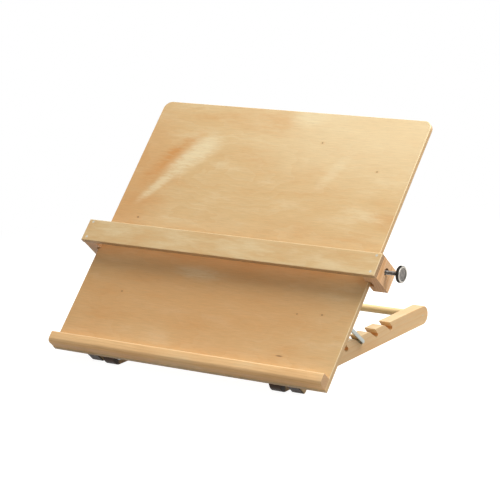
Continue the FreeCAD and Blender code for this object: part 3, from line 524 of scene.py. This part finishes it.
def birch_ply_board():
    """Rotary-cut birch veneer on plywood, sanded and lacquered."""
    # To the eye: pale and even, with faint lines that flow round slow ovals, soft warm
    # and pale clouds, and a few pin knots. The widest clouds also carry painted light and
    # shade, and a few slanted pale streaks are a painted sheen.
    wood = bpy.context.scene.stand_wood
    material, tree = new_material("birch_plywood_board")
    place = grain_place(tree, ALONG_BOARD_WIDTH, BOARD_ORIGIN)
    lines = level_lines(tree, place, HILLS, 3.0)
    colour = lay_tint(tree, wood_colour("middle"), "pale", lines, (0.5, 0.0), most=0.09)
    colour = lay_tint(tree, colour, "warm", lines, (0.6, 1.0), most=0.08)
    drift = stretched_noise(tree, place, (110.0, 30.0, 400.0), detail=6.0, roughness=0.68, shift=17.0)
    colour = lay_tint(tree, colour, "warm", drift, (0.48, 0.7), most=0.38)
    colour = lay_tint(tree, colour, "pale", drift, (0.48, 0.3), most=0.38)
    back_veneer = colour
    feather = stretched_noise(tree, place, (18.0, 3.5, 60.0), detail=4.0, roughness=0.7, shift=8.0)
    # The noise keeps to about 0.2 to 0.8, so it is stretched to 0 to 1.
    feathered = add_node(
        tree, "Math", {0: feather, 1: 1.7, 2: -0.3}, operation="MULTIPLY_ADD", use_clamp=True
    )
    for along, up, half_length, half_width, slant, tint, strength in CLOUDS:
        spot = soft_spot(tree, place, along, up, half_length, half_width, slant)
        if half_length < WIDE_CLOUD:
            spot = add_node(tree, "Math", {0: spot, 1: feathered}, operation="MULTIPLY")
            span = (0.0, 0.5)
        else:
            span = (0.05, 0.8)
        colour = lay_tint(tree, colour, tint, spot, span, most=strength)
    for along, up, half_length, half_width in PIN_KNOTS:
        halo = soft_spot(tree, place, along, up, half_length * KNOT_HALO[0], half_width * KNOT_HALO[1])
        colour = lay_tint(tree, colour, "warm", halo, (0.0, 1.0), most=0.4)
        core = soft_spot(tree, place, along, up, half_length, half_width)
        colour = lay_tint(tree, colour, "knot", core, (0.0, 0.8), most=0.65)
    # The back is another veneer, without the front's clouds and knots.
    depth = add_node(tree, "SeparateXYZ", {"Vector": place}).outputs["Z"]
    on_front = add_node(tree, "Math", {0: depth, 1: -wood.ply_thickness / MM}, operation="GREATER_THAN")
    colour = add_node(tree, "Mix", {0: on_front, 6: back_veneer, 7: colour}, data_type="RGBA")
    colour, relief = fibres(tree, place, colour, 0.045)
    satin_lacquer(tree, plies(tree, place, ALONG_BOARD_WIDTH, colour, 0.4), relief)
    return material


def birch_ply_guide():
    """The page guide's plywood, from another sheet of the same kind."""
    # To the eye: paler and plainer than the board, with streaks along it instead of
    # ovals, and with darker plies.
    material, tree = new_material("birch_plywood_guide")
    front = reach("guide_plate", OUT_OF_BOARD)[1] - reach("board", OUT_OF_BOARD)[1]
    place = grain_place(tree, ALONG_BOARD_WIDTH, BOARD_ORIGIN + OUT_OF_BOARD * front)
    lines = level_lines(tree, place, (), 41.0)
    colour = lay_tint(tree, wood_colour("middle"), "pale", lines, (0.6, 0.0), most=0.12)
    drift = stretched_noise(tree, place, (60.0, 14.0, 400.0), detail=6.0, roughness=0.65, shift=29.0)
    colour = lay_tint(tree, colour, "warm", drift, (0.5, 0.72), most=0.3)
    colour = lay_tint(tree, colour, "pale", drift, (0.58, 0.3), most=0.5)
    colour, relief = fibres(tree, place, colour, 0.035)
    satin_lacquer(tree, plies(tree, place, ALONG_BOARD_WIDTH, colour, 1.0), relief)
    return material


def planed_birch(
    name, turn, origin, pith, base, ring_strength=0.3, wander=7.0,
    edgewise=("pale", 0.0), cut=("end_grain", 0.55), painted_shade_end=0.0, fibre_strength=0.045
):
    """Solid birch, planed, sanded and lacquered, whose growth rings run round a pith outside it."""
    # To the eye: faint lines along the stick, 3 mm apart, on a slowly changing ground.
    # Edgewise and cut are the tints of its sides and of its ends, with their strengths,
    # and painted_shade_end is how far painted shade reaches along one end, in millimetres.
    wood = bpy.context.scene.stand_wood
    material, tree = new_material(name)
    place = grain_place(tree, turn, origin)
    from_pith = add_node(
        tree, "Mapping", {"Vector": place, "Location": (0.0,) + pith, "Scale": (THROUGH, 1.0, 1.0)},
        vector_type="TEXTURE"
    )
    radius = add_node(tree, "VectorMath", {0: from_pith}, operation="LENGTH")
    sway = stretched_noise(tree, place, RING_SWAY, detail=2.0, shift=2.0)
    swayed = add_node(tree, "Math", {0: sway, 1: wander, 2: radius}, operation="MULTIPLY_ADD")
    rings = add_node(tree, "Math", {0: swayed, 1: wood.ring_width / MM}, operation="DIVIDE")
    ring = add_node(tree, "Math", {0: rings}, operation="FRACT")
    # Each ring darkens slowly to its late wood and ends at once.
    late = add_node(tree, "ValToRGB", {"Fac": ring}, stops=((0.0, 0.0), (1.0, 0.0), (0.6, 0.2), (0.9, 1.0)))
    colour = lay_tint(tree, wood_colour(base), "warm", late, (0.0, 1.0), most=ring_strength)
    drift = stretched_noise(tree, place, BAR_DRIFT, detail=3.0, shift=12.0)
    colour = lay_tint(tree, colour, "warm", drift, (0.5, 0.75), most=0.3)
    colour = lay_tint(tree, colour, "pale", drift, (0.5, 0.25), most=0.4)
    colour, relief = fibres(tree, place, colour, fibre_strength)
    signed, facing = grain_facing(tree, turn)
    tint, strength = edgewise
    colour = lay_tint(tree, colour, tint, facing.outputs["Y"], (0.5, 0.95), most=strength)
    # Painted highlights on the upper and right-hand corners.
    colour = painted_corner_highlights(tree, signed, colour)
    tint, strength = cut
    colour = lay_tint(tree, colour, tint, facing.outputs["X"], (0.6, 0.95), most=strength)
    if painted_shade_end:
        # Painted shade: the end nearest the reader is laid near-black for the deep shade that falls under
        # the ledge.
        along = add_node(tree, "SeparateXYZ", {"Vector": place}).outputs["X"]
        colour = lay_tint(tree, colour, "painted_shade_end", along, (painted_shade_end, painted_shade_end * 0.6), most=0.95)
    satin_lacquer(tree, colour, relief)
    return material


def cloudy_metal(name, colour, roughness, cloud_size, contrast):
    """Metal whose shine and shade change in faint clouds, over a low relief a quarter of their size."""
    # The grain of plated, drawn or cast metal is a few thousandths of a millimetre, too
    # fine to show, so clouds and relief are drawn as coarse as they need to show.
    material, tree = new_material(name)
    place = add_node(tree, "TexCoord").outputs["Object"]
    clouds = add_node(tree, "TexNoise", {"Vector": place, "Scale": 1.0 / cloud_size, "Detail": 4.0})
    colour = getattr(bpy.context.scene.stand_metal, colour)
    colour = shade_by(tree, colour, clouds, (0.25, 0.75), (1.0 - contrast, 1.0))
    relief = add_node(tree, "TexNoise", {"Vector": place, "Scale": 4.0 / cloud_size})
    inputs = {"Base Color": colour, "Metallic": 1.0}
    rough = (roughness * 0.8, roughness * 1.25)
    finish(tree, inputs, clouds, rough, relief, strength=0.1, distance=0.05 * MM)
    return material


def give(material, *nodes):
    """Put a material on CAD nodes."""
    for name in nodes:
        data = NODES[name].data
        data.materials.clear()
        data.materials.append(material)


def soften(*nodes):
    """Round the sharp edges of CAD nodes a little, so that they catch the light."""
    for name in nodes:
        bevel = NODES[name].modifiers.new("sanded_edges", "BEVEL")
        bevel.width = bpy.context.scene.stand_fittings.sanding
        bevel.segments = 2
        bevel.limit_method = "ANGLE"
        bevel.angle_limit = EDGE_ANGLE
        bevel.use_clamp_overlap = True


def rounded_outline(*corners, steps=8):
    """Points of a closed outline with right-angled corners, each given with its radius."""
    points = []
    for index, (up, out, radius) in enumerate(corners):
        here = Vector((up, out))
        to_last = (Vector(corners[index - 1][:2]) - here).normalized()
        to_next = (Vector(corners[(index + 1) % len(corners)][:2]) - here).normalized()
        if radius == 0.0:
            points.append(here)
            continue
        centre = here + (to_last + to_next) * radius
        for step in range(steps + 1):
            angle = math.pi / 2.0 * step / steps
            points.append(centre - (to_next * math.cos(angle) + to_last * math.sin(angle)) * radius)
    return points


def lathe(mesh, rings, steps, radius_at):
    """Rings of points round the X axis, joined to a closed skin; radius_at(ring, step) gives each radius."""
    loops = []
    for ring in rings:
        loop = []
        for step in range(steps):
            angle = 2.0 * math.pi * step / steps
            radius = radius_at(ring, step)
            loop.append(mesh.verts.new((ring[0], radius * math.cos(angle), radius * math.sin(angle))))
        loops.append(loop)
    for low, high in zip(loops, loops[1:]):
        for step in range(steps):
            following = (step + 1) % steps
            mesh.faces.new((low[step], low[following], high[following], high[step]))
    mesh.faces.new(list(reversed(loops[0])))
    mesh.faces.new(loops[-1])


def add_object(name, data):
    """An object of the scene, made from its mesh, light or camera."""
    item = bpy.data.objects.new(name, data)
    bpy.context.scene.collection.objects.link(item)
    return item


def mesh_object(name, mesh, *materials):
    """An object from a finished bmesh, smooth but for its sharp edges."""
    bmesh.ops.recalc_face_normals(mesh, faces=mesh.faces)
    data = bpy.data.meshes.new(name)
    mesh.to_mesh(data)
    mesh.free()
    for material in materials:
        data.materials.append(material)
    data.shade_smooth()
    data.set_sharp_from_angle(angle=FACET_ANGLE)
    return add_object(name, data)


def threaded_rod(mesh, length):
    """A rod along X with a helical thread, chamfered where it starts, at X = 0."""
    parts = bpy.context.scene.stand_fittings
    pitch, depth, top = parts.thread_pitch, parts.thread_depth, parts.shank_radius
    count = max(2, round(length / pitch * THREAD_ROWS))
    rings = [(length * row / count,) for row in range(count + 1)]

    def radius_at(ring, step):
        turns = ring[0] / pitch - step / ROD_STEPS
        wave = abs(2.0 * (turns % 1.0) - 1.0)
        flank = min(max((wave - THREAD_CREST) / (1.0 - 2.0 * THREAD_CREST), 0.0), 1.0)
        chamfer = max(1.0 - ring[0] / depth, 0.0)
        return top - depth * max(flank, chamfer)

    lathe(mesh, rings, ROD_STEPS, radius_at)


def knurled_head(mesh, start, end):
    """Flat head with a ridged rim, small chamfers and a dished outer face."""
    parts = bpy.context.scene.stand_fittings
    low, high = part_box("thumb_screw")
    rim = (high.z - low.z) / 2.0
    # The chamfers and the small steps of the profile are shares of this length.
    edge = 0.55 * MM
    dish = parts.dish_radius
    floor = end - parts.dish_depth
    # Each ring: place along the axis, radius, share of the knurl that it carries.
    rings = (
        (start, parts.shank_radius * 0.9, 0.0),
        (start, rim - edge * 2.0, 0.0),
        (start + edge * 0.25, rim - edge, 0.3),
        (start + edge, rim, 1.0),
        (end - edge * 1.5, rim, 1.0),
        (end - edge * 0.7, rim - edge * 0.6, 0.2),
        (end, rim - edge * 1.8, 0.0),
        (end, dish + edge, 0.0),
        (end - edge * 0.2, dish + edge * 0.3, 0.0),
        (floor + edge * 0.25, dish - edge * 0.8, 0.0),
        (floor, dish - edge * 2.2, 0.0),
        (floor + edge * 0.2, dish * 0.35, 0.0),
        (floor + edge * 0.25, dish * 0.04, 0.0),
    )

    def radius_at(ring, step):
        ridge = abs(2.0 * ((step / RIDGE_STEPS) % 1.0) - 1.0)
        return ring[1] - parts.ridge_depth * ring[2] * ridge

    lathe(mesh, rings, parts.ridge_count * RIDGE_STEPS, radius_at)


def domed_head(mesh, start, end, rows=8):
    """Round head between two places along X, flat underneath."""
    full = bpy.context.scene.stand_fittings.bolt_head_radius
    rim = DOME_RIM * (end - start)
    rings = [(start, full), (start + rim, full)]
    for row in range(1, rows + 1):
        angle = math.pi / 2.0 * row / rows
        radius = full * (1.0 - DOME_NARROWING * (1.0 - math.cos(angle)))
        rings.append((start + rim + (end - start - rim) * math.sin(angle), radius))
    lathe(mesh, rings, DOME_STEPS, lambda ring, step: ring[1])


def lock_nut(mesh, start, end):
    """Hexagonal nut with turned corners and the round collar that holds its nylon ring."""
    half = bpy.context.scene.stand_fittings.nut_across_flats / 2.0
    length = end - start
    # Each ring: place along the axis and the radius that its corners are turned to, as
    # shares of the nut's length and of half its width across flats.
    rings = [
        (start + length * share, half * turned)
        for share, turned in (
            (0.0, 0.66), (0.0, 0.98), (0.08, 1.16), (0.62, 1.16), (0.7, 0.98),
            (0.7, 0.88), (0.93, 0.88), (1.0, 0.8), (1.0, 0.66),
        )
    ]

    def radius_at(ring, step):
        from_flat = (step / NUT_STEPS * 6.0 + 0.5) % 1.0 - 0.5
        flat = half / math.cos(from_flat * math.pi / 3.0)
        return min(ring[1], flat)

    lathe(mesh, rings, NUT_STEPS, radius_at)


def cross_recess(mesh, face, depth):
    """Cutter for a cross recess: two crossed bars that narrow towards the floor."""
    parts = bpy.context.scene.stand_fittings
    half = parts.recess_width / 2.0
    for turn in (0.0, math.pi / 2.0):
        for corner in bmesh.ops.create_cube(mesh, size=2.0)["verts"]:
            outside = corner.co.x > 0.0
            # Each bar is widest just outside the head and narrowest at the recess's floor.
            x = face + (0.5 * MM if outside else -depth)
            y = corner.co.y * parts.recess_reach * (1.15 if outside else 0.45)
            corner.co = Matrix.Rotation(turn, 3, "X") @ Vector((x, y, corner.co.z * half))


def cut_away(piece, cutter):
    """Take one mesh out of another, drop both objects and return the mesh that is left."""
    boolean = piece.modifiers.new("recess", "BOOLEAN")
    boolean.operation = "DIFFERENCE"
    boolean.solver = "EXACT"
    boolean.object = cutter
    bpy.context.view_layer.update()
    cut = bpy.data.meshes.new_from_object(piece.evaluated_get(bpy.context.evaluated_depsgraph_get()))
    mesh = bmesh.new()
    mesh.from_mesh(cut)
    for spent in (piece, cutter):
        bpy.data.objects.remove(spent)
    return mesh


def put_on_axis(mesh, node, sign):
    """Move a mesh that starts at X = 0 to where a node starts, pointing to its side."""
    low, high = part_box(node)
    centre = (low + high) / 2.0
    turn = Matrix.Identity(4) if sign > 0 else Matrix.Rotation(math.pi, 4, "Z")
    start = Vector((low.x if sign > 0 else high.x, centre.y, centre.z))
    bmesh.ops.transform(mesh, matrix=Matrix.Translation(start) @ turn, verts=mesh.verts)


class STAND_OT_board(bpy.types.Operator):
    """Lacquered birch plywood of the reading board"""

    bl_idname = "stand.board"
    bl_label = "Board"

    def execute(self, context):
        give(birch_ply_board(), "board")
        soften("board")
        return {"FINISHED"}


class STAND_OT_ledge(bpy.types.Operator):
    """Planed birch strip that carries the book, with a well rounded nose"""

    bl_idname = "stand.ledge"
    bl_label = "Ledge"

    def execute(self, context):
        parts = context.scene.stand_fittings
        # The ledge's strip colour is partly painted light, paler for light thrown up from the floor.
        birch = planed_birch(
            "planed_birch_ledge", ALONG_BOARD_WIDTH, BOARD_ORIGIN, pith=(-58.0, -30.0), base="strip",
            ring_strength=0.25, edgewise=("warm", 0.15)
        )
        foot, top = reach("ledge", UP_BOARD)
        back, front = reach("ledge", OUT_OF_BOARD)
        outline = rounded_outline(
            (foot, back, 0.0), (top, back, 0.0),
            (top, front, parts.ledge_arris), (foot, front, parts.ledge_nose)
        )
        mesh = bmesh.new()
        loops = [
            [mesh.verts.new(TO_RIGHT * x + UP_BOARD * up + OUT_OF_BOARD * out) for up, out in outline]
            for x in reach("ledge", TO_RIGHT)
        ]
        for loop in loops:
            mesh.faces.new(loop)
        left, right = loops
        for index in range(len(outline)):
            mesh.faces.new((left[index - 1], left[index], right[index], right[index - 1]))
        # The ends are rounded all round but for the corner that lies on the board.
        at_ends = [edge for edge in mesh.edges if len({v.co.x for v in edge.verts}) == 1]
        free = back + parts.ledge_rounding
        off_board = [edge for edge in at_ends if any(v.co.dot(OUT_OF_BOARD) > free for v in edge.verts)]
        bmesh.ops.bevel(
            mesh, geom=off_board, offset=parts.ledge_rounding, segments=4, profile=0.5, affect="EDGES",
            clamp_overlap=True
        )
        ledge = mesh_object("bullnosed_ledge", mesh, birch)
        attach(ledge, "reading_board")
        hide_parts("ledge")
        return {"FINISHED"}


class STAND_OT_arms(bpy.types.Operator):
    """Planed birch of the two notched arms"""

    bl_idname = "stand.arms"
    bl_label = "Arms"

    def execute(self, context):
        # Painted shade: the arms' front ends are laid near-black for the deep shade under the ledge.
        birch = planed_birch(
            "planed_birch_arms", ALONG_TABLE_DEPTH, ARM_ORIGIN, pith=(40.0, -70.0), base="bar",
            # The notches' walls and the arms' ends get partly painted light: redder sawn end grain, laid
            # brighter for warm light thrown into the notches.
            ring_strength=0.22, edgewise=("warm", 0.25), cut=("notch_with_painted_light", 0.8), painted_shade_end=14.0
        )
        give(birch, "arm_left", "arm_right")
        return {"FINISHED"}


class STAND_OT_battens(bpy.types.Operator):
    """Planed birch of the battens on the board's back"""

    bl_idname = "stand.battens"
    bl_label = "Battens"

    def execute(self, context):
        # Painted shade: the battens' lower ends are laid near-black for the deep shade under the ledge.
        birch = planed_birch(
            "planed_birch_battens", ALONG_BOARD_HEIGHT, BOARD_ORIGIN, pith=(-60.0, 45.0), base="bar",
            painted_shade_end=6.0
        )
        give(birch, "batten_left", "batten_right")
        return {"FINISHED"}


class STAND_OT_dowel(bpy.types.Operator):
    """Turned birch of the rear rail"""

    bl_idname = "stand.dowel"
    bl_label = "Rear dowel"

    def execute(self, context):
        # Turned and sanded round: pale, with faint rings that run out along it.
        birch = planed_birch(
            "turned_birch_dowel", ALONG_TABLE_WIDTH, middle("rear_dowel"), pith=(-30.0, -22.0), base="rail",
            ring_strength=0.2, wander=4.0
        )
        give(birch, "rear_dowel")
        return {"FINISHED"}


class STAND_OT_guide_plate(bpy.types.Operator):
    """Lacquered birch plywood of the page guide"""

    bl_idname = "stand.guide_plate"
    bl_label = "Guide plate"

    def execute(self, context):
        give(birch_ply_guide(), "guide_plate")
        soften("guide_plate")
        return {"FINISHED"}


class STAND_OT_guide_blocks(bpy.types.Operator):
    """Redder sawn birch of the guide's end blocks"""

    bl_idname = "stand.guide_blocks"
    bl_label = "Guide blocks"

    def execute(self, context):
        # Sawn and only lightly sanded: redder, with strong rings and rough dark fibres.
        origin = BOARD_ORIGIN + UP_BOARD * reach("guide_block_right", UP_BOARD)[0]
        birch = planed_birch(
            "sawn_birch_blocks", ALONG_BOARD_HEIGHT, origin, pith=(-26.0, 34.0), base="block",
            ring_strength=0.6, wander=5.0, cut=("end_grain", 0.3), fibre_strength=0.14
        )
        give(birch, "guide_block_left", "guide_block_right")
        soften("guide_block_left", "guide_block_right")
        return {"FINISHED"}


class STAND_OT_prop(bpy.types.Operator):
    """Bright drawn steel wire of the prop"""

    bl_idname = "stand.prop"
    bl_label = "Prop"

    def execute(self, context):
        # Steel wire pulled through a die: even and bright, with one soft highlight along it.
        give(cloudy_metal("drawn_steel_wire", "wire", 0.3, 6.0 * MM, 0.1), "prop")
        return {"FINISHED"}


class STAND_OT_thumb_screw(bpy.types.Operator):
    """Thumb screw with its knurled, dished head and its thread"""

    bl_idname = "stand.thumb_screw"
    bl_label = "Thumb screw"

    def execute(self, context):
        parts = context.scene.stand_fittings
        # Nickel plate on turned steel: sharp warm glints on the head's edges, a worn and
        # duller face, and a knurl and dish wall painted dark, a painted reflection of dark surroundings.
        nickel = cloudy_metal("bright_nickel_plate", "nickel", 0.2, 2.0 * MM, 0.3)
        worn = cloudy_metal("worn_nickel_face", "worn", 0.36, 3.0 * MM, 0.5)
        dark = cloudy_metal("darkened_nickel_knurl", "knurl", 0.4, 1.0 * MM, 0.35)
        plates = (nickel, dark, worn)
        mesh = bmesh.new()
        low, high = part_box("thumb_screw")
        under_head = high.x - low.x - parts.head_height
        knurled_head(mesh, under_head, high.x - low.x)
        threaded_rod(mesh, under_head + HEAD_OVERLAP)
        # The knurl and the wall of the dish are painted dark as a painted reflection; the dish's floor and
        # the thread are dull.
        mesh.normal_update()
        for face in mesh.faces:
            spot = face.calc_center_median()
            dished = math.hypot(spot.y, spot.z) < parts.dish_radius
            plate = worn if dished or spot.x < under_head else nickel
            if spot.x > under_head and abs(face.normal.x) < (PAINTED_DARK_IN_DISH if dished else PAINTED_DARK_ON_RIM):
                plate = dark
            face.material_index = plates.index(plate)
        put_on_axis(mesh, "thumb_screw", 1.0)
        piece = mesh_object("knurled_thumb_screw", mesh, *plates)
        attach(piece, "clamp_screw")
        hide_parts("thumb_screw")
        return {"FINISHED"}


class STAND_OT_pivots(bpy.types.Operator):
    """Bolts, sleeves, washers and lock nuts that the board turns on"""

    bl_idname = "stand.pivots"
    bl_label = "Pivots"

    def execute(self, context):
        parts = context.scene.stand_fittings
        # Zinc plate on steel: light grey and faintly cloudy, duller than the nickel.
        zinc = cloudy_metal("zinc_plated_steel", "zinc", 0.34, 4.0 * MM, 0.18)
        for side, sign in SIDES.items():
            give(zinc, "pivot_spacer_" + side, "pivot_washer_" + side)
            low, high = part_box("pivot_bolt_" + side)
            length = high.x - low.x
            under_head = length - parts.bolt_head_height
            head, cutter = bmesh.new(), bmesh.new()
            domed_head(head, under_head, length)
            cross_recess(cutter, length, parts.recess_depth)
            recess = mesh_object("recess_" + side, cutter, zinc)
            mesh = cut_away(mesh_object("head_" + side, head, zinc), recess)
            threaded_rod(mesh, under_head + HEAD_OVERLAP)
            put_on_axis(mesh, "pivot_bolt_" + side, sign)
            bolt = mesh_object("pivot_bolt_threaded_" + side, mesh, zinc)
            low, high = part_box("pivot_nut_" + side)
            mesh = bmesh.new()
            lock_nut(mesh, high.x - low.x, 0.0)
            put_on_axis(mesh, "pivot_nut_" + side, sign)
            nut = mesh_object("pivot_lock_nut_" + side, mesh, zinc)
            for piece, node in ((bolt, "pivot_bolt_"), (nut, "pivot_nut_")):
                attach(piece, "reading_board")
                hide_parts(node + side)
        return {"FINISHED"}


class STAND_OT_nails(bpy.types.Operator):
    """Bright nails of the page guide and brads of the dowel"""

    bl_idname = "stand.nails"
    bl_label = "Nails"

    def execute(self, context):
        # Nails cut from bright wire, with struck heads: small pale dots in the wood.
        bright = cloudy_metal("bright_steel_nails", "nail", 0.35, 1.5 * MM, 0.15)
        give(bright, "guide_nails_left", "guide_nails_right", "dowel_brad_left", "dowel_brad_right")
        return {"FINISHED"}


class STAND_OT_insert(bpy.types.Operator):
    """Dull die-cast insert that the thumb screw turns in"""

    bl_idname = "stand.insert"
    bl_label = "Threaded insert"

    def execute(self, context):
        # Zinc alloy as it leaves the mould: dull and a little blotchy; its near-black is painted shade, for
        # the dark inside the hole that it sits in.
        give(cloudy_metal("die_cast_zinc", "insert", 0.5, 2.0 * MM, 0.3), "threaded_insert")
        return {"FINISHED"}


class STAND_OT_stage(bpy.types.Operator):
    """Pale floor, soft lamps, plain sky and the camera"""

    bl_idname = "stand.stage"
    bl_label = "Stage"

    def execute(self, context):
        stage = context.scene.stand_stage
        add_floor(stage)
        add_sky(stage)
        for name, offset in LAMP_PLACES.items():
            add_lamp(name, offset, getattr(stage, name + "_power"))
        add_camera(stage)
        context.scene.view_settings.view_transform = "Standard"
        return {"FINISHED"}


def seen_directly(tree):
    """1 for what the camera sees, also in metal or through glass, and 0 for light that bounces."""
    rays = add_node(tree, "LightPath").outputs
    seen = rays["Is Camera Ray"]
    for ray in ("Is Glossy Ray", "Is Transmission Ray"):
        seen = add_node(tree, "Math", {0: seen, 1: rays[ray]}, operation="MAXIMUM")
    return seen


def add_floor(stage):
    """A wide floor, white to the camera but for the stand's own faint shadow."""
    # Matt and pale: it throws soft light up on to the stand.
    mesh = bmesh.new()
    under = Matrix.Translation((0.0, 0.0, -FLOOR_DROP))
    bmesh.ops.create_grid(mesh, x_segments=1, y_segments=1, size=FLOOR_REACH, matrix=under)
    material, tree = new_material("pale_matt_floor")
    seen = seen_directly(tree)
    matt = add_node(tree, "BsdfDiffuse", {"Color": (*stage.floor, 1.0)})
    lift = add_node(tree, "Math", {0: seen, 1: FLOOR_LIFT}, operation="MULTIPLY")
    glow = add_node(tree, "Emission", {"Strength": lift})
    near = add_node(tree, "AddShader", {0: matt, 1: glow})
    # Away from the stand the floor fades to the plain white behind it.
    place = add_node(tree, "TexCoord").outputs["Object"]
    away = add_node(tree, "VectorMath", {0: place}, operation="LENGTH")
    low, high = FLOOR_FADE
    settings = {"Value": away, "From Min": low, "From Max": high, "To Max": seen}
    fade = add_node(tree, "MapRange", settings, interpolation_type="SMOOTHSTEP")
    white = add_node(tree, "Emission")
    both = add_node(tree, "MixShader", {0: fade, 1: near, 2: white})
    add_node(tree, "OutputMaterial", {"Surface": both})
    floor = mesh_object("floor", mesh, material)


def add_sky(stage):
    """Even light from all round, and plain white behind the stand."""
    world = bpy.data.worlds.new("plain_sky")
    world.use_nodes = True
    tree = world.node_tree
    tree.nodes.clear()
    white = (1.0, 1.0, 1.0, 1.0)
    dim = add_node(tree, "Background", {"Color": white, "Strength": stage.sky})
    plain = add_node(tree, "Background", {"Color": white, "Strength": 1.0})
    shown = add_node(tree, "MixShader", {0: seen_directly(tree), 1: dim, 2: plain})
    add_node(tree, "OutputWorld", {"Surface": shown})
    bpy.context.scene.world = world


def add_lamp(name, offset, power):
    """A square soft lamp that points at the stand."""
    light = bpy.data.lights.new(name, "AREA")
    light.shape = "SQUARE"
    light.size = LAMP_WIDTH
    light.energy = power
    lamp = add_object(name, light)
    lamp.location = (CAD_BOX[0] + CAD_BOX[1]) / 2.0 + offset
    lamp.rotation_euler = offset.to_track_quat("Z", "Y").to_euler()


def add_camera(stage):
    """The photograph's camera, from its place, its three angles and its lens."""
    azimuth, elevation, roll = stage.azimuth, stage.elevation, stage.roll
    level = Vector((math.cos(azimuth), math.sin(azimuth), 0.0))
    outward = Vector((math.sin(azimuth), -math.cos(azimuth), 0.0))
    back = outward * math.cos(elevation) + Vector((0.0, 0.0, math.sin(elevation)))
    upright = back.cross(level)
    right = level * math.cos(roll) + upright * math.sin(roll)
    up = upright * math.cos(roll) - level * math.sin(roll)
    lens = bpy.data.cameras.new("camera")
    lens.sensor_width = 36.0
    lens.lens = stage.lens
    camera = add_object("camera", lens)
    turn = Matrix((right, up, back)).transposed().to_4x4()
    camera.matrix_world = Matrix.Translation(stage.camera_place) @ turn
    bpy.context.scene.camera = camera


OPERATORS = (
    STAND_OT_board, STAND_OT_ledge, STAND_OT_arms, STAND_OT_battens, STAND_OT_dowel,
    STAND_OT_guide_plate, STAND_OT_guide_blocks, STAND_OT_prop, STAND_OT_thumb_screw,
    STAND_OT_pivots, STAND_OT_nails, STAND_OT_insert, STAND_OT_stage,
)
SETTINGS = {
    "stand_wood": StandWood,
    "stand_metal": StandMetal,
    "stand_fittings": StandFittings,
    "stand_stage": StandStage,
}


class STAND_PT_panel(bpy.types.Panel):
    """Settings and steps of the reading stand"""

    bl_idname = "STAND_PT_panel"
    bl_label = "Reading stand"
    bl_space_type = "VIEW_3D"
    bl_region_type = "UI"
    bl_category = "Reading stand"

    def draw(self, context):
        layout = self.layout
        for operator in OPERATORS:
            layout.operator(operator.bl_idname)
        for name, group in SETTINGS.items():
            box = layout.box()
            box.label(text=group.__doc__)
            for prop in group.__annotations__:
                box.prop(getattr(context.scene, name), prop)


CLASSES = (*SETTINGS.values(), *OPERATORS, STAND_PT_panel)


def register():
    """Make the settings, operators and panel known to Blender."""
    for item in CLASSES:
        bpy.utils.register_class(item)
    for name, group in SETTINGS.items():
        setattr(bpy.types.Scene, name, PointerProperty(type=group))


def unregister():
    """Take them away again."""
    for name in SETTINGS:
        delattr(bpy.types.Scene, name)
    for item in reversed(CLASSES):
        bpy.utils.unregister_class(item)


def main():
    """Dress the stand and set the stage."""
    register()
    for operator in OPERATORS:
        group, name = operator.bl_idname.split(".")
        getattr(getattr(bpy.ops, group), name)()


if __name__ == "__main__":
    main()
